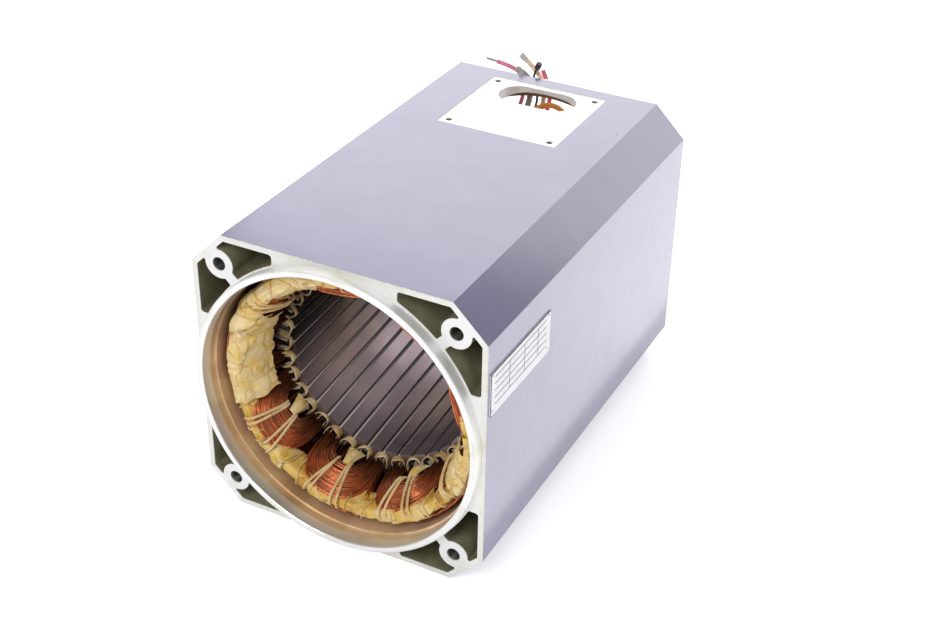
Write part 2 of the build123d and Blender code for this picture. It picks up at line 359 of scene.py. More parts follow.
@dataclass(frozen=True)
class HousingFinish:
    """Blue-grey paint on the outer faces, bare chromated aluminium on the machined ones; the bore's gold is
    partly a painted reflection of the yellow winding, and painted shade darkens it upwards.

    Pairs of metal and roughness shares give the machined faces first and the bore second.
    """

    half_width: float = 95 * MM
    half_length: float = 145 * MM
    bevel_reach: float = 119.36 * MM
    paint_skin: float = 0.05 * MM
    paint: Colour = (0.215, 0.200, 0.325)
    paint_pale: Colour = (0.245, 0.228, 0.360)
    dust: Grain = Grain(38.0, 6.0, (0.3, 0.75))
    scuff: Colour = (0.10, 0.09, 0.13)
    scuff_grain: Grain = Grain(95.0, 6.0)
    scuff_from_share: float = 0.735
    scuff_share: float = 0.7
    wear: Grain = Grain(420.0, 5.0)
    wear_reach: float = 1.2 * MM
    wear_from_share: float = 0.47
    bare: Colour = (0.86, 0.855, 0.845)
    tint: Colour = (0.60, 0.60, 0.40)
    mottle: Grain = Grain(70.0, 4.0, (0.55, 0.95))
    rim_width: float = 5.0 * MM
    rim_share: float = 0.35
    lip_margin: float = 0.4 * MM
    pocket: Colour = (0.24, 0.225, 0.13)
    pocket_pale: Colour = (0.40, 0.375, 0.25)
    pocket_span_shares: Span = (0.35, 0.7)
    # The bore's gold is a chromate tint plus a painted reflection of the yellow winding; its axial streaks
    # are painted reflections.
    gold: Colour = (0.60, 0.43, 0.26)
    gold_pale: Colour = (0.93, 0.77, 0.58)
    reflection_streaks: Grain = Grain(30.0, 5.0, (0.35, 0.65), (1.0, 0.15, 1.0))
    # Painted shade that darkens the bore's gold upwards.
    bore_shade: Colour = (0.27, 0.18, 0.11)
    bore_shade_span: Span = (5 * MM, 60 * MM)
    bore_limit: float = 91.7 * MM
    seat_depth: float = 1.0 * MM
    seat_rise: float = 80 * MM
    seat_half: float = 32 * MM
    metal_shares: Span = (0.25, 0.6)
    roughness_shares: Span = (0.42, 0.36)
    paint_roughness: float = 0.16
    specular: float = 0.85
    peel: Grain = Grain(900.0, 2.0)
    peel_relief: float = 0.02 * MM
    paint_build_share: float = 1.2

    def material(self) -> bpy.types.Material:
        """Make the material, which tells the faces apart by their place.

        Returns:
            The finished material.
        """
        shader = Shader("housing_paint_and_metal")
        rise = shader.rise()
        across = shader.math("ABSOLUTE", shader.axis("X"))
        upright = shader.math("ABSOLUTE", rise)
        along = shader.math("ABSOLUTE", shader.axis("Y"))
        edge = shader.math("MAXIMUM", across, upright)
        reach = shader.product(shader.math("ADD", across, upright), math.sqrt(0.5))
        skin = shader.math("MAXIMUM", shader.math("SUBTRACT", edge, self.half_width),
                           shader.math("SUBTRACT", reach, self.bevel_reach))
        near_end = shader.band(along, self.half_length - self.wear_reach, self.half_length)
        rubbed = shader.product(near_end, shader.noise(self.wear))
        worn = shader.math("GREATER_THAN", rubbed, self.wear_from_share)
        painted = shader.product(
            shader.math("GREATER_THAN", skin, -self.paint_skin),
            shader.math("LESS_THAN", along, self.half_length - self.paint_skin),
            shader.reverse(worn),
        )

        squares = shader.math("ADD", shader.product(across, across), shader.product(upright, upright))
        in_bore = shader.math("LESS_THAN", shader.math("SQRT", squares), self.bore_limit)
        in_length = shader.math("LESS_THAN", along, self.half_length - self.lip_margin)
        by_seat = shader.product(
            shader.math("GREATER_THAN", rise, self.seat_rise),
            shader.math("LESS_THAN", across, self.seat_half),
        )
        in_pocket = shader.product(
            shader.reverse(in_bore),
            in_length,
            shader.math("LESS_THAN", skin, -self.seat_depth),
            shader.reverse(by_seat),
        )

        mottle = shader.noise(self.mottle)
        bare = shader.mix(shader.band(mottle, *self.mottle.span), self.bare, self.tint)
        rim = shader.band(edge, self.half_width - self.rim_width, self.half_width)
        bare = shader.mix(shader.product(rim, shader.reverse(in_length), self.rim_share), bare, self.tint)
        # Chromate gold with axial streaks painted as reflections of the winding.
        golden = shader.mix(shader.patches(self.reflection_streaks), self.gold, self.gold_pale)
        # Painted shade darkens the bore's gold upwards.
        golden = shader.mix(shader.band(rise, *self.bore_shade_span), golden, self.bore_shade)
        olive = shader.mix(shader.band(mottle, *self.pocket_span_shares), self.pocket, self.pocket_pale)
        metal = shader.mix(in_pocket, bare, olive)
        metal = shader.mix(shader.product(in_bore, in_length), metal, golden)
        paint = shader.mix(shader.patches(self.dust), self.paint, self.paint_pale)
        scuffed = shader.math("GREATER_THAN", shader.noise(self.scuff_grain), self.scuff_from_share)
        paint = shader.mix(shader.product(scuffed, self.scuff_share), paint, self.scuff)
        shine = shader.mix(in_bore, *self.metal_shares, MixKind.FLOAT)
        rough = shader.mix(in_bore, *self.roughness_shares, MixKind.FLOAT)
        shader.set(
            base_color=shader.mix(painted, metal, paint),
            metallic=shader.mix(painted, shine, 0.0, MixKind.FLOAT),
            roughness=shader.mix(painted, rough, self.paint_roughness, MixKind.FLOAT),
            specular_ior_level=self.specular,
        )
        build = shader.product(painted, self.paint_build_share)
        shader.bump(shader.math("ADD", shader.noise(self.peel), build), self.peel_relief)
        return shader.material


@dataclass(frozen=True)
class SteelFinish:
    """Ground bore of the sheet stack, darkened with painted shade above the given rise."""

    dark: Colour = (0.15, 0.121, 0.130)
    light: Colour = (0.47, 0.385, 0.42)
    cloud: Grain = Grain(24.0, 5.0, (0.15, 0.85))
    # Painted shade that darkens the upper part of the bore.
    upper_shade: Colour = (0.012, 0.010, 0.011)
    upper_shade_span: Span = (-34 * MM, 6 * MM)
    sheets: Grain = Grain(900.0, 2.0, stretch=(0.02, 1.0, 0.02))
    sheet_relief: float = 0.06 * MM
    relief_share: float = 0.5
    metallic: float = 0.8
    roughness: float = 0.36

    def material(self) -> bpy.types.Material:
        """Make the material, with the edges of the sheets as fine rings.

        Returns:
            The finished material.
        """
        shader = Shader("lamination_steel")
        ground = shader.mix(shader.patches(self.cloud), self.dark, self.light)
        # Painted shade: the steel turns near-black from a little below the axis height upwards.
        upper_shaded = shader.band(shader.rise(), *self.upper_shade_span)
        shader.set(
            base_color=shader.mix(upper_shaded, ground, self.upper_shade),
            metallic=self.metallic,
            roughness=self.roughness,
        )
        shader.bump(shader.noise(self.sheets), self.sheet_relief, self.relief_share)
        return shader.material


@dataclass(frozen=True)
class WedgeFinish:
    """Slot wedges: painted shadow along one edge, and a painted highlight along the other near the front and
    low down.
    """

    slot_pitch_deg: float = 10.0
    half_pitch_share: float = 0.5
    slot_lead: float = 5715 * MM
    core_front: float = -95 * MM
    fade_end: float = 5 * MM
    unlit_from: float = 32 * MM
    lit_below: float = 2 * MM
    # The dark edge is painted shadow of the slot's wall; the pale edge is a painted highlight that fades
    # towards the rear and upwards.
    dark_until_shares: Span = (0.44, 0.46)
    pale_from_shares: Span = (0.50, 0.53)
    dark: Colour = (0.022, 0.018, 0.018)
    grey: Colour = (0.13, 0.108, 0.115)
    pale: Colour = (0.80, 0.73, 0.68)
    roughness: float = 0.7
    specular: float = 0.2
    fibres: Grain = Grain(500.0, 3.0)
    relief: float = 0.05 * MM

    def material(self) -> bpy.types.Material:
        """Make the material, which follows the skewed slots.

        Returns:
            The finished material.
        """
        shader = Shader("slot_wedge")
        rise = shader.rise()
        along = shader.axis("Y")
        turn = shader.product(shader.math("ARCTAN2", rise, shader.axis("X")), math.degrees(1.0))
        skew = shader.product(shader.math("SUBTRACT", along, self.core_front), FULL_TURN / self.slot_lead)
        steps = shader.math("DIVIDE", shader.math("ADD", turn, skew), self.slot_pitch_deg)
        place = shader.math("FRACT", shader.math("ADD", steps, self.half_pitch_share))
        # Painted highlight on one edge of the wedges, at the front and low down.
        lit_share = shader.product(
            shader.band(along, self.fade_end, self.core_front),
            shader.band(rise, self.unlit_from, self.lit_below),
            shader.band(place, *self.pale_from_shares),
        )
        # Painted shadow along the other edge of the wedges.
        tone = shader.mix(shader.band(place, *self.dark_until_shares), self.dark, self.grey)
        shader.set(
            base_color=shader.mix(lit_share, tone, self.pale),
            roughness=self.roughness,
            specular_ior_level=self.specular,
        )
        shader.bump(shader.noise(self.fibres), self.relief)
        return shader.material


@dataclass(frozen=True)
class PaperFinish:
    """Varnished insulating paper, tape or cord, blotched with resin and lined with thin dark lines of resin
    and painted crease shade.
    """

    paper: Paper
    stain_share: float = 0.5
    roughness: float = 0.5
    relief: float = 0.4 * MM
    blotches: Grain = Grain(75.0, 5.0, (0.35, 0.65))
    spots: Grain = Grain(150.0, 4.0, (0.53, 0.68))
    fibres: Grain = Grain(520.0, 4.0)
    fibre_share: float = 0.4
    # Colour of the thin dark lines: painted shade of creases, with resin.
    crease: Colour = (0.26, 0.14, 0.04)
    crease_share: float = 0.6
    crease_width_share: float = 0.022
    crease_lines: Grain = Grain(60.0, 2.5)
    crease_lengths: Grain = Grain(110.0, 2.0, (0.42, 0.54))
    noise_middle_share: float = 0.5

    def material(self) -> bpy.types.Material:
        """Make the material.

        Returns:
            The finished material.
        """
        shader = Shader(self.paper.name.lower())
        pale, deep, stain = self.paper.value
        blotch = shader.noise(self.blotches)
        tone = shader.mix(shader.band(blotch, *self.blotches.span), pale, deep)
        tone = shader.mix(shader.product(shader.patches(self.spots), self.stain_share), tone, stain)
        # Thin dark lines painted as crease shade and resin.
        offset = shader.math("SUBTRACT", shader.noise(self.crease_lines), self.noise_middle_share)
        line = shader.band(shader.math("ABSOLUTE", offset), self.crease_width_share, 0.0)
        line = shader.product(line, self.crease_share, shader.patches(self.crease_lengths))
        shader.set(base_color=shader.mix(line, tone, self.crease), roughness=self.roughness)
        fibre = shader.product(shader.noise(self.fibres), self.fibre_share)
        shader.bump(shader.math("ADD", blotch, fibre), self.relief)
        return shader.material


@dataclass(frozen=True)
class CopperFinish:
    """Enamelled winding wire in one tone, darkened where it leaves the core: painted shade of the slot
    roots, with varnished darkening there too.
    """

    tone: CopperTone
    core_front: float = -95 * MM
    core_rear: float = 32 * MM
    dark_until: float = 7 * MM
    clear_from: float = 27 * MM
    dark_share: float = 0.13
    deep_share: float = 0.6
    cloud: Grain = Grain(140.0, 3.0)
    metallic: float = 0.65
    roughness: float = 0.26

    def material(self) -> bpy.types.Material:
        """Make the material.

        Returns:
            The finished material.
        """
        shader = Shader(f"enamelled_copper_{self.tone.name.lower()}")
        deep = tuple(channel * self.deep_share for channel in self.tone.value)
        root_shade = tuple(channel * self.dark_share for channel in self.tone.value)
        along = shader.axis("Y")
        depth = shader.math("MAXIMUM", shader.math("SUBTRACT", self.core_front, along),
                            shader.math("SUBTRACT", along, self.core_rear))
        # Painted shade: the wire turns near-black within a few millimetres of the core's end faces.
        clear = shader.band(depth, self.dark_until, self.clear_from)
        tone = shader.mix(shader.patches(self.cloud), deep, self.tone.value)
        shader.set(
            base_color=shader.mix(clear, root_shade, tone),
            metallic=self.metallic,
            roughness=self.roughness,
        )
        return shader.material


class Forge:
    """Turns bmesh work and curves into finished objects that ride on the body."""

    wire_steps: int = 3

    @staticmethod
    def adopt(obj: bpy.types.Object, slot: str, replaced: Iterable[str] = ()) -> None:
        """Tie a piece to the body, hide the solids that it stands for, and log its slot.

        Args:
            obj: The piece.
            slot: Name of its material slot, which is only logged.
            replaced: Names of the solids that it stands for.
        """
        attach(obj, "root")
        names = tuple(replaced)
        if names:
            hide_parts(*names)
        LOG.info("piece %s, slot %s, in place of %s", obj.name, slot, ", ".join(names) or "nothing")

    @staticmethod
    def repaint(obj: bpy.types.Object, material: bpy.types.Material) -> None:
        """Give a solid one material in place of those it has."""
        obj.data.materials.clear()
        obj.data.materials.append(material)

    @staticmethod
    def from_bmesh(name: str, bm: bmesh.types.BMesh, materials: Sequence[bpy.types.Material],
                   smooth: bool = True) -> bpy.types.Object:
        """Write a bmesh into a new object at the origin.

        Args:
            name: Name of the object.
            bm: The shape, which is freed.
            materials: Its materials in slot order.
            smooth: Whether faces are shaded smooth.

        Returns:
            The new object.
        """
        mesh = bpy.data.meshes.new(name)
        for face in bm.faces:
            face.smooth = smooth
        bm.to_mesh(mesh)
        bm.free()
        for material in materials:
            mesh.materials.append(material)
        obj = bpy.data.objects.new(name, mesh)
        bpy.context.scene.collection.objects.link(obj)
        return obj

    @staticmethod
    def close(bm: bmesh.types.BMesh) -> None:
        """Merge the doubles of a bmesh and turn its faces outwards."""
        bmesh.ops.remove_doubles(bm, verts=bm.verts, dist=MERGE_GAP)
        bmesh.ops.recalc_face_normals(bm, faces=bm.faces)

    @staticmethod
    def thicken(obj: bpy.types.Object, name: str, wall: float, offset: float) -> None:
        """Give a thin sheet its thickness.

        Args:
            obj: The sheet.
            name: Name of the modifier.
            wall: Its thickness.
            offset: -1 to grow inwards, 0 for both ways.
        """
        modifier = obj.modifiers.new(name, "SOLIDIFY")
        modifier.thickness = wall
        modifier.offset = offset

    @staticmethod
    def sheet(bm: bmesh.types.BMesh, columns: int, rows: int, place: Callable[[float, float], Vector],
              tone: int = 0, keep: Callable[[float, float], bool] | None = None) -> None:
        """Add a grid whose corners are bent to where a function puts them.

        Args:
            bm: The bmesh that takes it.
            columns: Faces along its first direction.
            rows: Faces along its second direction.
            place: Gives the point for a share of each direction.
            tone: Index of its material.
            keep: Tells whether a face stays, by the shares of its middle.
        """
        half = Vector((0.5, 0.5, 0.0))
        made = bmesh.ops.create_grid(bm, x_segments=columns, y_segments=rows, size=half.x)
        faces = list(dict.fromkeys(face for corner in made["verts"] for face in corner.link_faces))
        dropped = []
        for face in faces:
            face.material_index = tone
            middle = face.calc_center_median() + half
            if keep is not None and not keep(middle.x, middle.y):
                dropped.append(face)
        for corner in made["verts"]:
            share = corner.co + half
            corner.co = place(share.x, share.y)
        bmesh.ops.delete(bm, geom=dropped, context="FACES")

    @staticmethod
    def round_curve(name: str, radius: float, sides: int, steps: int) -> bpy.types.Curve:
        """Make an empty curve that draws closed round wires.

        Args:
            name: Name of the curve.
            radius: Half of the wire's thickness.
            sides: Bevel resolution, 0 for four sides, 1 for six, and so on.
            steps: Steps between two control points.

        Returns:
            The curve.
        """
        curve = bpy.data.curves.new(name, "CURVE")
        curve.dimensions = "3D"
        curve.bevel_depth = radius
        curve.bevel_resolution = sides
        curve.use_fill_caps = True
        curve.resolution_u = steps
        return curve

    @staticmethod
    def add_line(curve: bpy.types.Curve, points: Sequence[Iterable[float]],
                 smooth_line: bool) -> bpy.types.Spline:
        """Add one line to a curve.

        Args:
            curve: The curve that takes it.
            points: The points of the line.
            smooth_line: Whether they are the control points of a smooth line.

        Returns:
            The new line.
        """
        spline = curve.splines.new("NURBS" if smooth_line else "POLY")
        spline.points.add(len(points) - 1)
        for place, point in zip(spline.points, points):
            place.co = (*point, 1.0)
        if smooth_line:
            spline.order_u = 3
            spline.use_endpoint_u = True
        return spline

    @staticmethod
    def tubes(bm: bmesh.types.BMesh, paths: Iterable[tuple[Sequence[Vector], int]], radius: float,
              sides: int = 1, smooth_line: bool = False) -> None:
        """Add round wires along paths to a bmesh.

        Args:
            bm: The bmesh that takes them.
            paths: For each wire, its points and the index of its material.
            radius: Half of the wire's thickness.
            sides: Bevel resolution of the wire.
            smooth_line: Whether the points are the control points of a smooth line.
        """
        curve = Forge.round_curve("wire_draft", radius, sides, Forge.wire_steps)
        for points, tone in paths:
            Forge.add_line(curve, points, smooth_line).material_index = tone
        draft = bpy.data.objects.new("wire_draft", curve)
        bpy.context.scene.collection.objects.link(draft)
        bpy.context.view_layer.update()
        graph = bpy.context.evaluated_depsgraph_get()
        mesh = bpy.data.meshes.new_from_object(draft.evaluated_get(graph))
        bm.from_mesh(mesh)
        bpy.data.objects.remove(draft)
        bpy.data.curves.remove(curve)
        bpy.data.meshes.remove(mesh)


@dataclass
class Housing:
    """Extruded body with its threads, nameplate rules and finishes."""

    nodes: dict[str, bpy.types.Object]
    plate_finish: PlainFinish = PlainFinish(
        "plate_metal", (0.90, 0.88, 0.91), roughness=0.5, grain=Grain(120.0, 4.0, (0.32, 0.68)),
        grain_share=0.05, relief=0.01 * MM,
    )
    thread_finish: PlainFinish = PlainFinish(
        "thread_metal", (0.10, 0.095, 0.09), roughness=0.4, metallic=0.7
    )
    bolt_half: float = 76 * MM
    channel_radius: float = 4.25 * MM
    thread_depth: float = 0.65 * MM
    thread_pitch: float = 1.5 * MM
    thread_half_share: float = 0.4
    thread_turns: int = 14
    thread_steps: int = 16
    end_y: float = 145 * MM
    thread_start: float = 1.4 * MM
    plate_rule: float = 0.6 * MM
    # Width of the dark line painted as the plate's shadow gap.
    plate_border: float = 0.9 * MM
    plate_proud: float = 0.06 * MM
    rule_margin: float = 5.2 * MM
    rule_row_shares: tuple[float, ...] = (0.2, 0.36, 0.52, 0.68, 0.84)
    rule_stop_shares: tuple[float, ...] = (0.3, 0.55, 0.78)
    rivet_radius: float = 1.1 * MM
    rivet_inset: float = 2.6 * MM
    rivet_flat_share: float = 0.45

    def dress(self) -> None:
        """Put the finishes on the body and the plate, and add threads and rules."""
        Forge.repaint(self.nodes["housing"], HousingFinish().material())
        Forge.repaint(self.nodes["nameplate"], self.plate_finish.material())
        self.build_threads()
        self.build_plate_rules()

    def build_threads(self) -> None:
        """Cut-looking threads in the mouths of the four screw channels, at both ends."""
        bm = bmesh.new()
        for side_x in (-1, 1):
            for side_z in (-1, 1):
                for end in HeadEnd:
                    centre = Vector((side_x * self.bolt_half, 0, AXIS_Z + side_z * self.bolt_half))
                    self.add_thread(bm, centre, end.value)
        bmesh.ops.recalc_face_normals(bm, faces=bm.faces)
        threads = Forge.from_bmesh("screw_threads", bm, [self.thread_finish.material()])
        Forge.adopt(threads, "housing_paint")

    def add_thread(self, bm: bmesh.types.BMesh, centre: Vector, outward: int) -> None:
        """Add one thread as a ridge spun and climbed along the channel.

        Args:
            bm: The bmesh that takes it.
            centre: A point on the channel's line.
            outward: Direction of that end along the length.
        """
        start = outward * (self.end_y - self.thread_start)
        half = self.thread_pitch * self.thread_half_share
        outer = self.channel_radius
        inner = outer - self.thread_depth
        corners = [(outer, -half), (inner, 0.0), (outer, half)]
        ring = [bm.verts.new(centre + Vector((radius, start + shift, 0))) for radius, shift in corners]
        edges = [bm.edges.new(pair) for pair in zip(ring, ring[1:])]
        climb = -outward * self.thread_pitch / self.thread_steps
        bmesh.ops.spin(bm, geom=edges, cent=centre, axis=(0, 1, 0), dvec=(0, climb, 0),
                       angle=math.tau * self.thread_turns, steps=self.thread_steps * self.thread_turns)

    def build_plate_rules(self) -> None:
        """Blank ruled fields, a dark line painted as the plate's shadow gap along its top and front edges,
        and four rivets on the nameplate.
        """
        low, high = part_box("nameplate")
        length = high.y - low.y
        height = high.z - low.z
        face = high.x
        bm = bmesh.new()
        rows = [low.z + share * height for share in self.rule_row_shares]
        field_ends = (low.y + self.rule_margin, high.y - self.rule_margin)
        for level in rows:
            self.add_rule(bm, face, field_ends, (level, level + self.plate_rule))
        for share in self.rule_stop_shares:
            stop = low.y + share * length
            self.add_rule(bm, face, (stop, stop + self.plate_rule), (rows[0], rows[-1]))
        for printed in bm.faces:
            printed.material_index = PlateInk.PLATE_PRINT.slot
        # A dark line painted as the plate's shadow gap along its top and front edges.
        self.add_rule(bm, face, (low.y, high.y), (high.z - self.plate_border, high.z))
        self.add_rule(bm, face, (low.y, low.y + self.plate_border), (low.z, high.z))
        flatten = Matrix.Diagonal((self.rivet_flat_share, 1, 1, 1))
        for y in (low.y + self.rivet_inset, high.y - self.rivet_inset):
            for z in (low.z + self.rivet_inset, high.z - self.rivet_inset):
                place = Matrix.Translation((face, y, z)) @ flatten
                made = bmesh.ops.create_icosphere(
                    bm, subdivisions=2, radius=self.rivet_radius, matrix=place
                )
                for face_of_rivet in {f for v in made["verts"] for f in v.link_faces}:
                    face_of_rivet.material_index = PlateInk.RIVET_METAL.slot
        inks = [PlainFinish(ink.name.lower(), *ink.value).material() for ink in PlateInk]
        Forge.adopt(Forge.from_bmesh("nameplate_rules", bm, inks), "plate_metal")

    def add_rule(self, bm: bmesh.types.BMesh, face: float, span_y: Span, span_z: Span) -> None:
        """Add one printed bar to the plate's face.

        Args:
            bm: The bmesh that takes it.
            face: The plate's outer face along X.
            span_y: Its ends along the length.
            span_z: Its lower and upper edge.
        """
        size = (self.plate_proud, span_y[1] - span_y[0], span_z[1] - span_z[0])
        middle = (face, sum(span_y) / 2, sum(span_z) / 2)
        place = Matrix.Translation(middle) @ Matrix.Diagonal((*size, 1))
        bmesh.ops.create_cube(bm, size=1.0, matrix=place)


@dataclass
class WindingHead:
    """One end of the winding: coil arches, taped roll, wrinkled papers, lacing and slot cuffs.

    Tables of stations are in millimetres: a radius, then a depth from the core's end face for the
    filling, or from the roll's lip for the wraps and lashings.
    """

    end: HeadEnd
    core_y: float
    roll_front: float
    skew_deg: float
    chance: random.Random
    ripple_gain: float = 1.6
    ripple_shift: float = 11.0

    # Coil arches and the legs that run straight into the roll
    slot_count: int = 36
    group_count: int = 9
    group_start_deg: float = 215.0
    slot_inner: float = 66.0 * MM
    slot_outer: float = 76 * MM
    root_outer: float = 72.5 * MM
    wire_radius: float = 0.44 * MM
    wire_start: float = 2.0 * MM
    wire_jitter: float = 0.4 * MM
    arch_wires: int = 23
    arch_layers: int = 3
    arch_points: int = 16
    arch_inner_half_deg: float = 9.0
    arch_outer_half_deg: float = 18.6
    arch_jitter_deg: float = 0.6
    arch_foot: float = 66.6 * MM
    arch_crest: float = 75.6 * MM
    arch_low: float = 19.5 * MM
    arch_rise_power: float = 0.85
    arch_flare_power: float = 2.0
    arch_swing_power: float = 0.8
    arch_lift_power: float = 0.62
    arch_flare_gain: float = 1.2
    layer_drop: float = 0.85 * MM
    layer_shift_share: float = 0.5
    tone_weights: tuple[int, ...] = (3, 4, 3)
    leg_wires: int = 16
    leg_points: int = 6
    leg_reach: float = 30 * MM
    leg_offsets_deg: tuple[float, ...] = (-15, -5, 5, 15)
    leg_jitter_deg: float = 2.2
    leg_lean_deg: float = 3.0
    leg_lean_jitter_deg: float = 2.0
    near_span_deg: Span = (5.0, 100.0)
    near_crest: float = 72.9 * MM

    # Taped roll
    roll_inner: float = 74.4 * MM
    roll_outer: float = 84.2 * MM
    roll_length: float = 18.6 * MM
    roll_squareness: float = 0.55
    roll_core_sink: float = 1.0 * MM
    roll_columns: int = 180
    roll_rows: int = 24
    lump: float = 1.8 * MM
    lump_waves: Waves = Waves(26.0, 0.9)
    crease_depth: float = 1.0 * MM
    crease_waves: Waves = Waves(70.0, 1.3, 3.0)
    crease_gain: float = 2.2
    swell_sink: float = 0.3 * MM
    proud_most: float = 0.8 * MM
    tape_papers: tuple[Paper, ...] = (Paper.ROLL_TAPE_YELLOW, Paper.ROLL_TAPE_CREAM, Paper.ROLL_TAPE_AMBER)
    tape_weights: tuple[int, ...] = (5, 5, 2)
    tape_count: int = 64
    tape_columns: int = 34
    tape_rows: int = 6
    tape_wall: float = 0.25 * MM
    tape_jitter_deg: float = 2.0
    tape_widths_deg: Span = (6.0, 13.0)
    tape_slant_deg: float = 7.0
    tape_proud_shares: Span = (0.1, 1.0)
    tape_pleats: Span = (3.0, 6.0)
    tape_waves: Waves = Waves(60.0, 1.0, 2.0)
    tape_wave_deg: float = 0.9
    tape_tuck: float = 0.9 * MM
    tape_rise_gain: float = 2.5
    pleat_height: float = 0.22 * MM
    pleat_lean: float = 3.0

    # Copper inside the roll, and loose wires along its edges
    filling_stations: tuple[Span, ...] = (
        (74.0, 1), (75.0, 14), (76.0, 24), (78.0, 35), (81.0, 36), (82.0, 24), (79.5, 1),
    )
    filling_steps: int = 90
    bare_edge_spans_deg: tuple[Span, ...] = (
        (166, 190), (206, 214), (258, 274), (300, 352), (18, 62), (76, 94),
    )
    loose_step_deg: float = 2.0
    edge_wire_count: int = 10
    edge_wire_rows: int = 3
    edge_lift_mm: float = 0.6
    edge_row_mm: float = 0.35
    edge_depth_mm: float = 3.0
    edge_jitter_deg: float = 3.0
    edge_wobble: float = 0.25 * MM
    edge_tones: tuple[CopperTone, ...] = (CopperTone.BRIGHT, CopperTone.WARM, CopperTone.WARM)
    lip_wire_count: int = 9
    lip_step_share: float = 1.2
    lip_jitter_deg: float = 4.0
    lip_wobble: float = 0.2 * MM

    # Slot cuffs
    cuff_half: float = 4.5 * MM
    cuff_reach: float = 3.7 * MM
    cuff_reach_jitter: float = 1.0 * MM
    cuff_start: float = 0.15 * MM
    cuff_crown: float = 62.2 * MM
    cuff_root: float = 72.0 * MM
    cuff_wall: float = 0.4 * MM
    cuff_columns: int = 14
    cuff_rows: int = 4
    cuff_flare_share: float = 0.25
    cuff_bend_deg: float = 1.6
    cuff_leg_share: float = 0.2
    cuff_turn_gain: float = 1.4
    cuff_dent: float = 1.5 * MM
    cuff_dent_waves: Span = (4.0, 1.4)
    cuff_ragged_share: float = 0.6
    cuff_ragged_waves: float = 2.6
    cuff_ragged_layer: float = 9.0
    cuff_patterns: float = 50.0

    # Wrinkled wraps, and tongues of paper between the lashings
    wrap_spans_deg: tuple[Span, ...] = ((99.0, 199.0), (331.0, 352.0))
    wrap_stations: tuple[Span, ...] = (
        (85.4, -13), (85.6, -5), (83.4, 0.2), (79.5, 0.8), (75.5, 0.2), (72.0, -3.8), (69.4, -9),
        (67.4, -14.5), (66.2, -19.5), (65.6, -24),
    )
    wrap_sink: float = 3.5 * MM
    wrap_clearance: float = 1.6 * MM
    wrap_tuck_deg: float = -1.5
    wrap_proud: float = 1.6 * MM
    wrap_columns_per_deg: float = 2.6
    wrap_rows: int = 70
    wrap_ragged_share: float = 0.07
    wrap_ragged_waves: Waves = Waves(60.0, 0.0, 9.0)
    wrap_end_deg: float = 2.0
    wrap_end_waves: float = 5.0
    fold: float = 2.3 * MM
    fold_deepest: float = 1.5 * MM
    fold_bend_deg: float = 2.5
    fold_bend_waves: Waves = Waves(14.0, 2.2, 4.0)
    fold_waves: tuple[Waves, ...] = (Waves(34.0, 1.6, 5.0), Waves(48.0, 2.6, 7.0), Waves(20.0, 5.5, 8.0))
    fold_shares: tuple[float, ...] = (0.55, 0.45, 0.3)
    fold_gains: Span = (2.0, 3.0)
    pinch: float = 0.9 * MM
    pinch_width_deg: float = 1.1
    window_deg: Span = (119.0, 152.0)
    window_shares: Span = (0.53, 1.16)
    tear_share: float = 0.12
    tear_waves: Span = (0.25, 5.0)
    tear_layer: float = 2.0
    tongue_angles_deg: tuple[float, ...] = (215.0, 257.0, 296.0, 18.0, 60.0)
    tongue_jitter_deg: float = 1.5
    tongue_wide: float = 6.5 * MM
    tongue_narrow: float = 2.6 * MM
    tongue_tall: float = 15 * MM
    tongue_taper_power: float = 0.7
    tongue_pleat: float = 0.9 * MM
    tongue_waves: Span = (2.6, 0.8)
    tongue_bulge: float = 2.4 * MM
    tongue_round_share: float = 0.7
    tongue_gap: float = 0.6 * MM
    tongue_curl: float = 1.2 * MM
    tongue_faces: int = 12

    # Lashings and thin ties
    cord_radius: float = 0.95 * MM
    cord_sides: int = 2
    cord_stain_share: float = 0.3
    lashed_spans_deg: tuple[Span, ...] = ((130.0, 140.0), (196.0, 342.0))
    lash_offsets_deg: tuple[float, ...] = (-9.0, -5.6, 4.8, 8.6)
    lash_jitter_deg: float = 0.9
    lash_lean_jitter_deg: float = 1.0
    lash_margin_deg: float = 2.0
    lash_gather_share: float = 0.45
    lash_stations: tuple[Span, ...] = (
        (81.5, -0.4), (77.5, 1.3), (73.8, 0.3), (70.6, -5.0), (67.8, -11.5),
        (65.6, -18.5), (65.4, -23.0), (67.5, -25.5), (71.0, -24.5),
    )
    lash_lean_shares: tuple[float, ...] = (0.0, 0.0, 0.1, 0.3, 0.6, 0.9, 1.0, 1.0, 1.0)
    tie_radius: float = 0.45 * MM
    tie_count: int = 36
    tie_points: int = 20
    tie_jitter_deg: float = 4.0
    tie_slant_deg: float = 7.0
    tie_down_share: float = 0.8
    tie_sink_share: float = 0.4
    tie_margin_deg: float = 1.0
    tie_swell_share: float = 0.5
    tie_lift: float = 0.7 * MM
    tie_sweep_share: float = 1.4
    tie_start_share: float = 0.2
    ties: list[Span] = field(init=False, default_factory=list)

    def __post_init__(self) -> None:
        """Choose where the thin ties go, each with an angle and a slant."""
        for tie in range(self.tie_count):
            angle = tie * FULL_TURN / self.tie_count + self.jitter(self.tie_jitter_deg)
            self.ties.append((angle, self.jitter(self.tie_slant_deg)))

    @staticmethod
    def tie_bend(slant: float, share: float) -> float:
        """How far a slanted tie has turned at a share of its way."""
        return slant * math.sin(math.pi * (min(share, 1.0) - 0.5))

    @property
    def label(self) -> str:
        """The end's name in lower case."""
        return self.end.name.lower()

    @property
    def lip_depth(self) -> float:
        """Depth of the roll's outermost face."""
        return abs(self.roll_front - self.core_y)

    @property
    def group_centres(self) -> list[float]:
        """Middle angles of the coil arches."""
        pitch = FULL_TURN / self.group_count
        return [(self.group_start_deg + group * pitch) % FULL_TURN for group in range(self.group_count)]

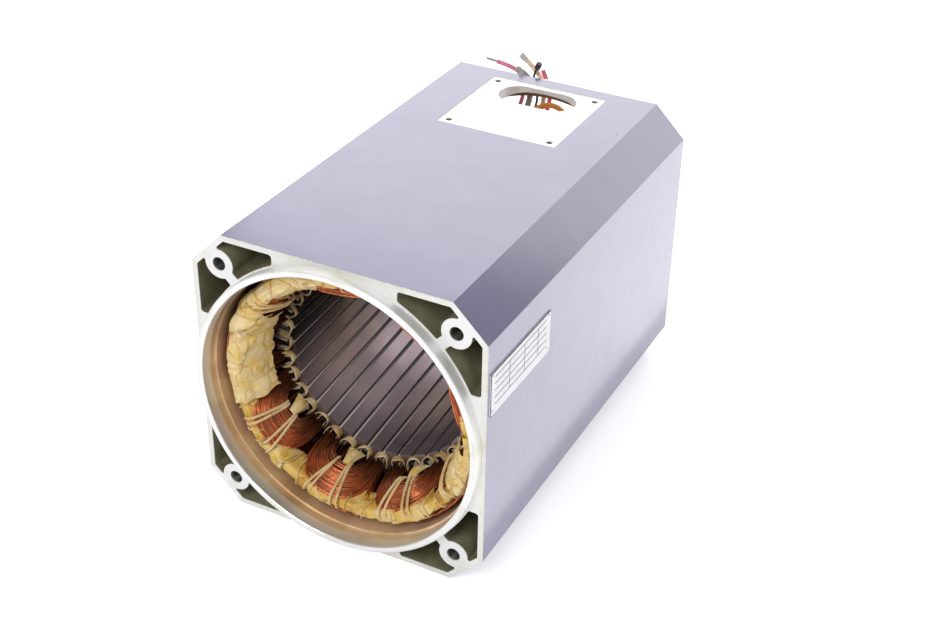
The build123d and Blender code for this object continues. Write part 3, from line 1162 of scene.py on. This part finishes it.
    def at(self, angle: float, radius: float, depth: float) -> Vector:
        """Place on the head.

        Args:
            angle: Angle round the axis, before the skew of this end.
            radius: Distance from the axis.
            depth: Distance outwards from the core's end face.

        Returns:
            The point.
        """
        turn = math.radians(angle + self.skew_deg)
        y = self.core_y + self.end.value * depth
        return Vector((radius * math.cos(turn), y, AXIS_Z + radius * math.sin(turn)))

    def jitter(self, amount: float) -> float:
        """A small random offset of up to the amount either way."""
        return self.chance.uniform(-amount, amount)

    def ripple(self, waves: Waves, angle: float, along: float) -> float:
        """Smooth noise round the head that meets itself after a full turn.

        Args:
            waves: How many waves there are, and which pattern.
            angle: Angle round the axis.
            along: Place along the section.

        Returns:
            A value of about -1 to 1.
        """
        turn = math.radians(angle)
        reach = waves.round_count / math.tau
        shift = self.ripple_shift * (waves.layer + self.end.value)
        place = (reach * math.cos(turn) + shift, reach * math.sin(turn), waves.along_count * along)
        return self.ripple_gain * noise.noise(Vector(place))

    def wrapped(self, angle: float, margin: float = 0.0) -> bool:
        """Whether an angle lies under one of the wraps, or within a margin of it."""
        return any(low - margin < angle % FULL_TURN < high + margin for low, high in self.wrap_spans_deg)

    @staticmethod
    def along(stations: Sequence[Span], share: float) -> Span:
        """Point at a share of the way along a line of stations.

        Args:
            stations: The line's corners.
            share: From 0 at the first to 1 at the last.

        Returns:
            The point's two values.
        """
        place = min(max(share, 0.0), 1.0) * (len(stations) - 1)
        before = min(int(place), len(stations) - 2)
        rest = place - before
        (a, b), (c, d) = stations[before], stations[before + 1]
        return a + (c - a) * rest, b + (d - b) * rest

    def arch_path(self, centre: float, share: float, layer: int) -> list[Vector]:
        """Line of one wire of a coil arch, out of one slot and back into another.

        Args:
            centre: Middle angle of the arch.
            share: Place across the arch, 0 beside the cuffs and 1 beside the roll.
            layer: Layer beneath the outer one.

        Returns:
            The points of the wire.
        """
        half = self.arch_inner_half_deg + share * (self.arch_outer_half_deg - self.arch_inner_half_deg)
        half += self.jitter(self.arch_jitter_deg)
        sink = self.layer_drop * layer + (self.wrap_sink if self.wrapped(centre) else 0.0)
        rise = share**self.arch_rise_power
        deep = self.arch_low + (self.lip_depth - self.arch_low) * rise - sink * share
        near_low, near_high = self.near_span_deg
        crest = self.near_crest if near_low < centre < near_high else self.arch_crest
        flare = share**self.arch_flare_power
        wide = self.arch_foot + (crest - self.arch_foot) * flare + sink * (1 - share / 2)
        deep += self.jitter(self.wire_jitter)
        wide += self.jitter(self.wire_jitter)
        root = self.slot_inner + self.chance.random() * (self.root_outer - self.slot_inner)
        start = self.wire_start
        points = []
        for step in range(self.arch_points + 1):
            phase = math.pi * step / self.arch_points
            swing = -math.copysign(abs(math.cos(phase)) ** self.arch_swing_power, math.cos(phase))
            lift = math.sin(phase) ** self.arch_lift_power
            radius = root + (wide - root) * min(1.0, self.arch_flare_gain * lift)
            points.append(self.at(centre + half * swing, radius, start + (deep - start) * lift))
        return points

    def leg_path(self, angle: float, lean: float) -> list[Vector]:
        """Line of one wire that runs from a slot straight into the roll.

        Args:
            angle: Angle of the slot.
            lean: How far the wire leans round the axis on its way.

        Returns:
            The points of the wire.
        """
        start = self.slot_inner + self.chance.random() * (self.slot_outer - self.slot_inner)
        goal = self.roll_inner + self.chance.random() * (self.roll_outer - self.roll_inner)
        points = []
        for step in range(self.leg_points + 1):
            share = step / self.leg_points
            radius = start + (goal - start) * share
            depth = self.wire_start + self.leg_reach * share
            points.append(self.at(angle + lean * share**2, radius, depth))
        return points

    def wire_paths(self, phase: int, phases: int) -> list[tuple[list[Vector], int]]:
        """All the wires of one phase at this end.

        Args:
            phase: Number of the phase.
            phases: How many phases there are.

        Returns:
            Points and tone of each wire.
        """
        paths = []
        for centre in self.group_centres[phase::phases]:
            for layer in range(self.arch_layers):
                shift = self.layer_shift_share * (layer % 2)
                for wire in range(self.arch_wires):
                    share = (wire + shift) / (self.arch_wires - self.layer_shift_share)
                    outer_tone = self.chance.choices(tuple(CopperTone), self.tone_weights)[0]
                    # Wires beneath the outer layer get the dark tone as painted shade.
                    tone = outer_tone if layer == 0 else CopperTone.DARK
                    paths.append((self.arch_path(centre, share, layer), tone.slot))
            for offset in self.leg_offsets_deg:
                for _ in range(self.leg_wires):
                    angle = centre + offset + self.jitter(self.leg_jitter_deg)
                    lean = self.leg_lean_deg + self.jitter(self.leg_lean_jitter_deg)
                    paths.append((self.leg_path(angle, lean), CopperTone.DARK.slot))
        return paths

    def roll_point(self, turn: float, grow: float) -> Span:
        """Point on the rounded section of the roll, eased so that it stays near the lip.

        Args:
            turn: Angle round the section, from its outer side towards its lip.
            grow: How far the point stands proud of the bare roll.

        Returns:
            Radius and depth.
        """
        half_radius = (self.roll_outer - self.roll_inner) / 2
        half_depth = self.roll_length / 2
        across = math.copysign(abs(math.cos(turn)) ** self.roll_squareness, math.cos(turn))
        outwards = math.copysign(abs(math.sin(turn)) ** self.roll_squareness, math.sin(turn))
        radius = (self.roll_inner + self.roll_outer) / 2 + (half_radius + grow) * across
        depth = self.lip_depth - half_depth + (half_depth + grow) * outwards
        over = max(depth - self.lip_depth, 0.0)
        eased = self.proud_most * (1 - math.exp(-over / self.proud_most))
        return radius, min(depth, self.lip_depth) + eased

    def roll_swell(self, angle: float, turn: float) -> float:
        """Slow lumps and sharp creases of the taped roll.

        Args:
            angle: Angle round the axis.
            turn: Angle round the section.

        Returns:
            How far the surface stands proud.
        """
        lump = self.lump * self.ripple(self.lump_waves, angle, math.sin(turn))
        crease = abs(self.ripple(self.crease_waves, angle, math.cos(turn)))
        return lump - self.crease_depth * (1 - min(1.0, self.crease_gain * crease)) - self.swell_sink

    def build_roll(self) -> None:
        """The roll: overlapping, uneven turns of wrinkled tape over a closed ring."""
        bm = bmesh.new()

        def ring(around: float, section: float) -> Vector:
            """Point of the ring under the tape."""
            return self.at(FULL_TURN * around, *self.roll_point(math.tau * section, -self.roll_core_sink))

        Forge.sheet(bm, self.roll_columns, self.roll_rows, ring)
        for turn in range(self.tape_count):
            self.add_tape(bm, turn * FULL_TURN / self.tape_count + self.jitter(self.tape_jitter_deg))
        Forge.close(bm)
        tapes = [PaperFinish(paper).material() for paper in self.tape_papers]
        roll = Forge.from_bmesh(f"{self.label}_taped_roll", bm, tapes)
        Forge.thicken(roll, "tape_wall", self.tape_wall, -1)
        Forge.adopt(roll, "taped_roll", (f"{self.label}_head_roll",))

    def add_tape(self, bm: bmesh.types.BMesh, start: float) -> None:
        """Add one turn of tape round the roll's section.

        Args:
            bm: The bmesh that takes it.
            start: Angle where its tucked edge lies.
        """
        width = self.chance.uniform(*self.tape_widths_deg)
        slant = self.jitter(self.tape_slant_deg)
        proud = self.chance.uniform(*self.tape_proud_shares) * self.proud_most
        phase = self.chance.uniform(0, math.tau)
        pleats = self.chance.uniform(*self.tape_pleats)
        tone = self.chance.choices(range(len(self.tape_papers)), self.tape_weights)[0]

        def place(around: float, across: float) -> Vector:
            """Point of the tape.

            Args:
                around: Share of the way round the section.
                across: Share of its width, from its tucked edge.

            Returns:
                The point.
            """
            turn = math.tau * around
            angle = start + width * across + slant * math.sin(turn + phase)
            angle += self.tape_wave_deg * self.ripple(self.tape_waves, angle, turn)
            lift = -self.tape_tuck + (proud + self.tape_tuck) * min(1.0, self.tape_rise_gain * across) ** 0.5
            if self.wrapped(angle, self.wrap_tuck_deg):
                lift -= self.wrap_clearance
            pleat = self.pleat_height * math.sin(pleats * turn + phase + self.pleat_lean * across)
            return self.at(angle, *self.roll_point(turn, lift + pleat + self.roll_swell(angle, turn)))

        Forge.sheet(bm, self.tape_columns, self.tape_rows, place, tone)

    def build_filling(self) -> None:
        """Dark copper body behind the arches and inside the roll, with loose edge wires."""
        bm = bmesh.new()
        corners = [self.at(0, radius * MM, depth * MM) for radius, depth in self.filling_stations]
        ring = [bm.verts.new(corner) for corner in corners]
        edges = [bm.edges.new(pair) for pair in zip(ring, ring[1:] + ring[:1])]
        bmesh.ops.spin(bm, geom=edges, cent=(0, 0, AXIS_Z), axis=(0, 1, 0), angle=math.tau,
                       steps=self.filling_steps, use_merge=True)
        Forge.close(bm)
        # The filling behind the arches gets the dark tone as painted shade.
        for face in bm.faces:
            face.material_index = CopperTone.DARK.slot
        Forge.tubes(bm, self.edge_wires() + self.lip_wires(), self.wire_radius)
        tones = [CopperFinish(tone).material() for tone in CopperTone]
        Forge.adopt(Forge.from_bmesh(f"{self.label}_roll_filling", bm, tones), "enamelled_copper")

    def loose_wire(self, start: float, count: int, radius: float, wobble: float,
                   depth: float) -> list[Vector]:
        """Line of one loose wire that runs round the roll.

        Args:
            start: Angle where it starts.
            count: How many points it has.
            radius: Its distance from the axis.
            wobble: How far a point may stray from that.
            depth: Its depth.

        Returns:
            Its points.
        """
        angles = [start + self.loose_step_deg * step for step in range(count)]
        return [self.at(angle, radius + self.jitter(wobble), depth) for angle in angles]

    def edge_wires(self) -> list[tuple[list[Vector], int]]:
        """Loose wires along the roll's outer side where the tape leaves it bare.

        Returns:
            Points and tone of each wire.
        """
        wires = []
        for low, high in self.bare_edge_spans_deg:
            count = int((high - low) / self.loose_step_deg)
            for wire in range(self.edge_wire_count):
                lift = self.edge_lift_mm + self.edge_row_mm * (wire % self.edge_wire_rows)
                radius = self.roll_outer + lift * MM
                depth = self.lip_depth - (self.edge_depth_mm + wire) * MM
                start = low + self.jitter(self.edge_jitter_deg)
                line = self.loose_wire(start, count, radius, self.edge_wobble, depth)
                wires.append((line, self.chance.choice(self.edge_tones).slot))
        return wires

    def lip_wires(self) -> list[tuple[list[Vector], int]]:
        """Bare wires along the roll's inner lip where no tape covers it.

        Returns:
            Points and tone of each wire.
        """
        low, high = self.near_span_deg
        tones = (*self.edge_tones, CopperTone.DARK)
        wires = []
        for wire in range(self.lip_wire_count):
            radius = self.near_crest + self.wire_radius * wire
            depth = self.lip_depth - self.lip_step_share * self.wire_radius * (self.lip_wire_count - wire)
            start = low + self.jitter(self.lip_jitter_deg)
            count = int((high - start) / self.loose_step_deg)
            line = self.loose_wire(start, count, radius, self.lip_wobble, depth)
            wires.append((line, self.chance.choice(tones).slot))
        return wires

    def build_cuffs(self) -> None:
        """Folded paper cuffs that arch over the end of every slot."""
        bm = bmesh.new()
        for slot in range(self.slot_count):
            self.add_cuff(bm, slot * FULL_TURN / self.slot_count)
        bmesh.ops.recalc_face_normals(bm, faces=bm.faces)
        bmesh.ops.solidify(bm, geom=list(bm.faces), thickness=self.cuff_wall)
        paper = PaperFinish(Paper.CUFF_PAPER).material()
        Forge.adopt(Forge.from_bmesh(f"{self.label}_slot_cuffs", bm, [paper]), "insulation_paper")

    def add_cuff(self, bm: bmesh.types.BMesh, middle: float) -> None:
        """Add one cuff, from one root over the crown to the other.

        Args:
            bm: The bmesh that takes it.
            middle: Angle of its slot.
        """
        flare = self.chance.uniform(0.0, self.cuff_flare_share)
        reach = self.cuff_reach + self.jitter(self.cuff_reach_jitter)
        bend = self.jitter(self.cuff_bend_deg)
        crumple = self.chance.uniform(0.0, self.cuff_patterns)
        leg = self.cuff_leg_share
        dent_round, dent_out = self.cuff_dent_waves

        def place(around: float, out: float) -> Vector:
            """Point of the cuff.

            Args:
                around: Share of the way over its arch.
                out: Share of the way out along it.

            Returns:
                The point.
            """
            half = self.cuff_half * (1 + flare * out)
            spring = self.cuff_crown + half
            turn = math.pi * min(max(self.cuff_turn_gain * around - leg, 0.0), 1.0)
            across = -half * math.cos(turn)
            straight = max(leg - around, around - (1 - leg), 0.0) / leg
            radius = spring - half * math.sin(turn) + (self.cuff_root - spring) * straight
            dent = noise.noise(Vector((crumple, dent_round * around, dent_out * out)))
            radius += self.cuff_dent * dent * out
            ragged = noise.noise(Vector((crumple, self.cuff_ragged_waves * around, self.cuff_ragged_layer)))
            depth = self.cuff_start + reach * out * (1 + self.cuff_ragged_share * ragged)
            return self.at(middle + bend * out + math.degrees(across / radius), radius, depth)

        Forge.sheet(bm, self.cuff_columns, self.cuff_rows, place)

    def wrap_point(self, angle: float, share: float, lift: float = 0.0) -> Vector:
        """Point on the wrinkled wrap.

        Args:
            angle: Angle round the axis.
            share: From 0 at the roll's outer side to 1 at the cuffs.
            lift: How far the point stands proud of the paper; without one, the ties pinch it in.

        Returns:
            The point.
        """
        radius, behind = self.along(self.wrap_stations, share)
        radius *= MM
        depth = self.lip_depth + behind * MM
        away = Vector(((self.roll_inner + self.roll_outer) / 2 - radius,
                       self.lip_depth - self.roll_length / 2 - depth, 0)).normalized()
        bent = angle + self.fold_bend_deg * self.ripple(self.fold_bend_waves, angle, share)
        broad, sharp, cross = (self.ripple(waves, bent, share) for waves in self.fold_waves)
        sharp_gain, cross_gain = self.fold_gains
        sharp = 1 - min(1.0, sharp_gain * abs(sharp))
        cross = 1 - min(1.0, cross_gain * abs(cross))
        broad_share, sharp_share, cross_share = self.fold_shares
        push = lift + self.fold * (broad_share * broad - sharp_share * sharp - cross_share * cross)
        if not lift:
            nearest = min(abs(angle - tie - self.tie_bend(slant, share / self.tie_down_share))
                          for tie, slant in self.ties)
            push -= self.pinch * math.exp(-((nearest / self.pinch_width_deg) ** 2))
        push = max(push, -self.fold_deepest)
        outermost = self.lip_depth + self.wrap_proud
        return self.at(angle, radius - away.x * push, min(depth - away.y * push, outermost))

    def build_papers(self) -> None:
        """The wrinkled wraps over parts of the head, and the tongues between the lashings."""
        bm = bmesh.new()
        for low, high in self.wrap_spans_deg:
            self.add_wrap(bm, low, high)
        for centre in self.tongue_angles_deg:
            self.add_tongue(bm, centre + self.jitter(self.tongue_jitter_deg))
        bmesh.ops.recalc_face_normals(bm, faces=bm.faces)
        paper = PaperFinish(Paper.WRAP_PAPER).material()
        papers = Forge.from_bmesh(f"{self.label}_wrap_papers", bm, [paper])
        Forge.thicken(papers, "paper_wall", self.tape_wall, 0)
        Forge.adopt(papers, "insulation_paper", (f"{self.label}_phase_papers",))

    def add_wrap(self, bm: bmesh.types.BMesh, low: float, high: float) -> None:
        """Add one wrap of paper from the roll's outer side over its lip to the cuffs.

        Args:
            bm: The bmesh that takes it.
            low: Angle where it starts.
            high: Angle where it ends.
        """
        window_low, window_high = self.window_deg
        sill, head = self.window_shares
        tear_round, tear_down = self.tear_waves

        def place(round_share: float, down: float) -> Vector:
            """Point of the paper, with ragged edges.

            Args:
                round_share: Share of its way round the axis.
                down: Share of its way from the roll to the cuffs.

            Returns:
                The point.
            """
            angle = low + (high - low) * round_share
            ragged = 1.0 + self.wrap_ragged_share * self.ripple(self.wrap_ragged_waves, angle, down)
            jag = noise.noise(Vector((self.wrap_end_waves * down, low, 0)))
            angle += (2 * round_share - 1) * self.wrap_end_deg * jag
            return self.wrap_point(angle, down * ragged)

        def keep(round_share: float, down: float) -> bool:
            """Whether a face lies outside the torn window.

            Args:
                round_share: Share of the paper's way round the axis.
                down: Share of its way from the roll to the cuffs.

            Returns:
                True for a face that stays.
            """
            angle = low + (high - low) * round_share
            bay = (2 * angle - window_low - window_high) / (window_high - window_low)
            level = (2 * down - sill - head) / (head - sill)
            tear = noise.noise(Vector((tear_round * angle, tear_down * down, self.tear_layer)))
            return bay * bay + level * level > 1.0 + self.tear_share * tear

        columns = int(self.wrap_columns_per_deg * (high - low))
        Forge.sheet(bm, columns, self.wrap_rows, place, keep=keep)

    def add_tongue(self, bm: bmesh.types.BMesh, centre: float) -> None:
        """Add one gathered tongue of paper that stands up from the cuffs to the lashings.

        Args:
            bm: The bmesh that takes it.
            centre: Its middle angle.
        """
        wide = self.tongue_wide
        foot = self.arch_foot - self.tongue_gap
        waves_across, waves_up = self.tongue_waves

        def place(across: float, up: float) -> Vector:
            """Point of the tongue.

            Args:
                across: Share of its width.
                up: Share of its height.

            Returns:
                The point.
            """
            side = 2 * across - 1
            taper = wide + (self.tongue_narrow - wide) * up**self.tongue_taper_power
            half = math.degrees(taper / self.arch_foot)
            pleat = self.tongue_pleat * noise.noise(Vector((waves_across * side, waves_up * up, centre)))
            crown = 1 - self.tongue_round_share * side * side
            bulge = self.tongue_bulge * math.sin(math.pi * up) * crown
            radius = foot - bulge + pleat + self.tongue_curl * side * side
            return self.at(centre + half * side, radius, self.cuff_reach + self.tongue_tall * up)

        Forge.sheet(bm, self.tongue_faces, self.tongue_faces, place)

    def build_lacing(self) -> None:
        """Cord lashings over the arches, and ties all round the roll and the wraps."""
        bm = bmesh.new()
        window_low, window_high = self.window_deg
        lashings = []
        for centre in self.group_centres:
            if not any(low < centre < high for low, high in self.lashed_spans_deg):
                continue
            for offset in self.lash_offsets_deg:
                angle = centre + offset + self.jitter(self.lash_jitter_deg)
                in_window = offset > 0 and window_low < angle < window_high
                if in_window or not self.wrapped(angle, self.lash_margin_deg):
                    lean = -self.lash_gather_share * offset + self.jitter(self.lash_lean_jitter_deg)
                    lashings.append((self.lash_line(angle, lean), 0))
        Forge.tubes(bm, lashings, self.cord_radius, self.cord_sides, smooth_line=True)
        ties = [(self.tie_line(angle, slant), 1) for angle, slant in self.ties]
        Forge.tubes(bm, ties, self.tie_radius, smooth_line=True)
        cords = [PaperFinish(paper, self.cord_stain_share).material()
                 for paper in (Paper.LACING_CORD, Paper.TIE_THREAD)]
        lacing = Forge.from_bmesh(f"{self.label}_lashings", bm, cords)
        Forge.adopt(lacing, "lacing_cord", (f"{self.label}_head_lacing",))

    def tie_line(self, angle: float, slant: float) -> list[Vector]:
        """Line of one thin tie, over the wrap where there is one and round the roll elsewhere.

        Args:
            angle: Its middle angle.
            slant: How far it leans round the axis on its way.

        Returns:
            Its control points.
        """
        line = []
        for index in range(self.tie_points + 1):
            share = index / self.tie_points
            turned = angle + self.tie_bend(slant, share)
            if self.wrapped(angle, self.tie_margin_deg):
                sunk = -self.tie_sink_share * self.pinch
                line.append(self.wrap_point(turned, self.tie_down_share * share, sunk))
            else:
                turn = math.pi * (self.tie_sweep_share * share - self.tie_start_share)
                swell = self.tie_swell_share * self.roll_swell(turned, turn) + self.tie_lift
                line.append(self.at(turned, *self.roll_point(turn, swell)))
        return line

    def lash_line(self, angle: float, lean: float) -> list[Vector]:
        """Line of one lashing from beneath the roll's tape over an arch and under its inner edge.

        Args:
            angle: Angle where it comes out from under the tape.
            lean: How far it leans round the axis at its lower end.

        Returns:
            Its control points.
        """
        return [self.at(angle + lean * share, radius * MM, self.lip_depth + behind * MM)
                for (radius, behind), share in zip(self.lash_stations, self.lash_lean_shares)]

    def build(self) -> None:
        """Make every piece of this head but its wires."""
        self.build_filling()
        self.build_roll()
        self.build_cuffs()
        self.build_papers()
        self.build_lacing()


@dataclass
class Winding:
    """The three phases, with bars in the slots and loose wires in both heads."""

    nodes: dict[str, bpy.types.Object]
    heads: tuple[WindingHead, WindingHead]
    phases: tuple[str, ...] = ("u", "v", "w")
    bar_reach: float = 3.5 * MM

    def build(self) -> None:
        """Make one piece a phase, in place of its solid bars."""
        tones = [CopperFinish(tone).material() for tone in CopperTone]
        for index, phase in enumerate(self.phases):
            node = f"winding_phase_{phase}"
            bm = self.slot_bars(node)
            for face in bm.faces:
                face.material_index = CopperTone.DARK.slot
            for head in self.heads:
                Forge.tubes(bm, head.wire_paths(index, len(self.phases)), head.wire_radius)
            Forge.adopt(Forge.from_bmesh(f"coil_wires_{phase}", bm, tones), "enamelled_copper", (node,))

    def slot_bars(self, node: str) -> bmesh.types.BMesh:
        """The parts of a phase's solid bars that lie in the slots.

        Args:
            node: Name of the solid.

        Returns:
            A merged copy, cut off just outside the core.
        """
        bm = bmesh.new()
        bm.from_mesh(self.nodes[node].data)
        bmesh.ops.remove_doubles(bm, verts=bm.verts, dist=MERGE_GAP)
        for head in self.heads:
            cut_y = head.core_y + head.end.value * self.bar_reach
            geom = list(bm.verts) + list(bm.edges) + list(bm.faces)
            cut = bmesh.ops.bisect_plane(bm, geom=geom, plane_co=(0, cut_y, 0),
                                         plane_no=(0, head.end.value, 0), clear_outer=True)
            rim = [edge for edge in cut["geom_cut"] if isinstance(edge, bmesh.types.BMEdge)]
            bmesh.ops.holes_fill(bm, edges=rim)
        return bm


@dataclass
class Core:
    """Sheet stack with its wedges and liners."""

    nodes: dict[str, bpy.types.Object]
    liner_stain_share: float = 0.3

    def dress(self) -> None:
        """Put the finishes on the solids of the core."""
        Forge.repaint(self.nodes["stator_core"], SteelFinish().material())
        Forge.repaint(self.nodes["slot_wedges"], WedgeFinish().material())
        liner = PaperFinish(Paper.SLOT_PAPER, self.liner_stain_share)
        Forge.repaint(self.nodes["slot_liners"], liner.material())


@dataclass
class Leads:
    """Motor leads out of the rear head, some with a sleeve or lug on the end, in millimetres."""

    nodes: dict[str, bpy.types.Object]
    cord_sides: int = 3
    cord_steps: int = 8
    cover_roughness: float = 0.5
    tip_roughness: float = 0.45
    diameters: dict[LeadName, float] = field(default_factory=lambda: {
        LeadName.PINK: 3.0, LeadName.GREY: 4.2, LeadName.CREAM: 3.4,
        LeadName.BLACK: 1.7, LeadName.RED: 3.2, LeadName.ORANGE: 3.8,
    })
    routes: dict[LeadName, list[Point]] = field(default_factory=lambda: {
        LeadName.PINK: [
            (-39, 70.8, 163.5), (-39, 92, 160), (-36.5, 114, 156.5), (-34, 134, 154.5), (-32, 150, 157),
            (-31, 159, 167), (-32, 161.5, 179), (-38, 160.5, 187.3), (-52, 158.5, 189.8),
        ],
        LeadName.GREY: [
            (-33.5, 70.8, 166.5), (-32, 92, 162), (-30, 113, 158), (-27.5, 133, 155.5), (-25.5, 147, 157),
            (-24.5, 155.5, 166), (-24.3, 157, 177), (-27, 156.5, 185.5), (-35.5, 156, 188.8),
        ],
        LeadName.CREAM: [
            (-16, 70.8, 172.5), (-15.5, 92, 166), (-15, 113, 161), (-14.5, 133, 158.5), (-14, 148, 160),
            (-14, 157.5, 168.5), (-16.5, 161, 179), (-21.5, 161, 187.5), (-30.5, 160, 195),
        ],
        LeadName.BLACK: [
            (-21, 70.8, 171), (-21, 92, 165.5), (-20.5, 113, 160.5), (-19.5, 133, 158), (-18.5, 147, 159.5),
            (-18, 155.2, 168), (-19.5, 155.8, 178), (-23, 155.4, 185.5), (-19.5, 155.2, 192.5),
        ],
        LeadName.RED: [
            (-10.5, 70.8, 173.5), (-10, 92, 167), (-10, 113, 161.5), (-9.5, 133, 159), (-9, 148, 160.5),
            (-9.2, 157, 169), (-12, 160.5, 179), (-17.5, 160.5, 189.5),
        ],
        LeadName.ORANGE: [
            (6, 70.8, 174), (9, 90, 165), (12, 110, 159), (14, 128, 158), (12.5, 141, 162),
            (6, 148, 167.5), (-3, 150.5, 170), (-11, 149.8, 168.5), (-17, 147.5, 165),
        ],
    })
    tips: dict[LeadName, Colour] = field(default_factory=lambda: {
        LeadName.PINK: (0.36, 0.34, 0.35),
        LeadName.CREAM: (0.58, 0.56, 0.54),
        LeadName.BLACK: (0.02, 0.02, 0.02),
    })

    def build(self) -> None:
        """Make each lead as a smooth cord and colour its end piece."""
        for lead, route in self.routes.items():
            name = lead.name.lower()
            radius = self.diameters[lead] / 2 * MM
            curve = Forge.round_curve(f"cord_{name}", radius, self.cord_sides, self.cord_steps)
            points = [tuple(value * MM for value in point) for point in route]
            spline = Forge.add_line(curve, points, smooth_line=True)
            curve.materials.append(PlainFinish(f"lead_{name}", lead.value, self.cover_roughness).material())
            cord = bpy.data.objects.new(f"cord_{name}", curve)
            bpy.context.scene.collection.objects.link(cord)
            Forge.adopt(cord, f"lead_{name}", (f"lead_{name}",))
            if lead in self.tips:
                end = self.nodes[f"lead_{name}_tip"]
                finish = PlainFinish(f"lead_{name}_end", self.tips[lead], self.tip_roughness)
                Forge.repaint(end, finish.material())
            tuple(points[0])


@dataclass(frozen=True)
class Lamp:
    """One soft lamp: where it stands, what it faces, its size in metres and its power in watts."""

    name: str
    place: Point
    aim: Point
    width: float
    height: float
    power: float


@dataclass
class Studio:
    """Camera, lamps, floor and surroundings."""

    camera_place: Point = (0.38303, -0.73778, 0.59866)
    camera_turn_deg: Point = (58.0308, -1.0842, 27.2420)
    lens_mm: float = 56.98
    sensor_mm: float = 36.0
    floor_size: float = 40.0
    floor_colour: Colour = (0.82, 0.82, 0.84)
    floor_roughness: float = 0.9
    floor_glow: float = 0.57
    white: Colour = (1, 1, 1)
    world_strength: float = 0.2
    lamps: tuple[Lamp, ...] = (
        Lamp("back_panel", (-0.12, 1.5, 0.75), (-0.12, 0.0, 0.75), 2.4, 1.3, 25.0),
        Lamp("camera_softbox", (0.1, -1.45, 1.3), (0.0, 0.0, 0.095), 1.0, 1.0, 18.0),
        Lamp("overhead_softbox", (-1.2, 0.3, 1.4), (0.0, 0.0, 0.095), 1.4, 1.4, 17.0),
        Lamp("floor_reflector", (0.514, 0.25, 0.004), (0.514, 0.25, 1.0), 0.8, 1.6, 3.5),
    )

    def build(self) -> None:
        """Set up everything that isn't part of the object."""
        bpy.context.scene.view_settings.view_transform = "Standard"
        self.build_camera()
        self.build_floor()
        self.build_world()
        for lamp in self.lamps:
            self.add_lamp(lamp)

    def build_camera(self) -> None:
        """Camera at the photograph's viewing angle."""
        data = bpy.data.cameras.new("view")
        data.lens = self.lens_mm
        data.sensor_width = self.sensor_mm
        camera = bpy.data.objects.new("view", data)
        turn = Euler([math.radians(angle) for angle in self.camera_turn_deg])
        camera.matrix_world = Matrix.Translation(self.camera_place) @ turn.to_matrix().to_4x4()
        bpy.context.scene.collection.objects.link(camera)
        bpy.context.scene.camera = camera

    @staticmethod
    def add_lamp(lamp: Lamp) -> None:
        """Add one soft lamp.

        Args:
            lamp: What it is and where it stands.
        """
        data = bpy.data.lights.new(lamp.name, "AREA")
        data.shape = "RECTANGLE"
        data.size = lamp.width
        data.size_y = lamp.height
        data.energy = lamp.power
        body = bpy.data.objects.new(lamp.name, data)
        body.location = lamp.place
        aim = Vector(lamp.aim) - Vector(lamp.place)
        body.rotation_euler = aim.to_track_quat("-Z", "Y").to_euler()
        bpy.context.scene.collection.objects.link(body)

    @staticmethod
    def seen_share(tree: bpy.types.NodeTree, others: tuple[str, ...]) -> bpy.types.NodeSocket:
        """One for rays from the camera and of some other kinds, and zero for lighting.

        Args:
            tree: The node tree that takes the nodes.
            others: Names of the other kinds of rays.

        Returns:
            The share.
        """
        path = tree.nodes.new("ShaderNodeLightPath")
        seen = path.outputs["Is Camera Ray"]
        for other in others:
            joined = tree.nodes.new("ShaderNodeMath")
            joined.operation = "MAXIMUM"
            tree.links.new(seen, joined.inputs[0])
            tree.links.new(path.outputs[other], joined.inputs[1])
            seen = joined.outputs["Value"]
        return seen

    def build_floor(self) -> None:
        """Pale floor that stays white but keeps the object's shadow."""
        bm = bmesh.new()
        bmesh.ops.create_grid(bm, x_segments=1, y_segments=1, size=self.floor_size / 2)
        shader = Shader("floor")
        seen = self.seen_share(shader.tree, ("Is Glossy Ray", "Is Transmission Ray"))
        shader.set(
            base_color=self.floor_colour,
            roughness=self.floor_roughness,
            emission_color=self.white,
            emission_strength=shader.product(seen, self.floor_glow),
        )
        Forge.from_bmesh("floor", bm, [shader.material], smooth=False)

    def build_world(self) -> None:
        """White surroundings for the eye, softer ones for the light."""
        world = bpy.data.worlds.new("surroundings")
        bpy.context.scene.world = world
        world.use_nodes = True
        tree = world.node_tree
        background = tree.nodes["Background"]
        background.inputs["Color"].default_value = (*self.white, 1)
        level = tree.nodes.new("ShaderNodeMapRange")
        level.inputs["To Min"].default_value = self.world_strength
        level.inputs["To Max"].default_value = 1.0
        tree.links.new(self.seen_share(tree, ("Is Transmission Ray",)), level.inputs["Value"])
        tree.links.new(level.outputs["Result"], background.inputs["Strength"])


def main() -> None:
    """Build the scene piece by piece."""
    logging.basicConfig(level=logging.INFO, format="%(name)s: %(message)s")
    bpy.ops.wm.read_factory_settings(use_empty=True)
    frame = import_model()
    nodes = frame["nodes"]
    low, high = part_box("stator_core")
    roll_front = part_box("front_head_roll")[0].y
    roll_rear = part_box("rear_head_roll")[1].y
    chance = random.Random(SEED)
    front = WindingHead(HeadEnd.FRONT, low.y, roll_front, 0.0, chance)
    rear = WindingHead(HeadEnd.REAR, high.y, roll_rear, REAR_SKEW_DEG, chance)
    Housing(nodes).dress()
    Core(nodes).dress()
    for head in (front, rear):
        head.build()
    Winding(nodes, (front, rear)).build()
    Leads(nodes).build()
    Studio().build()


if __name__ == "__main__":
    main()
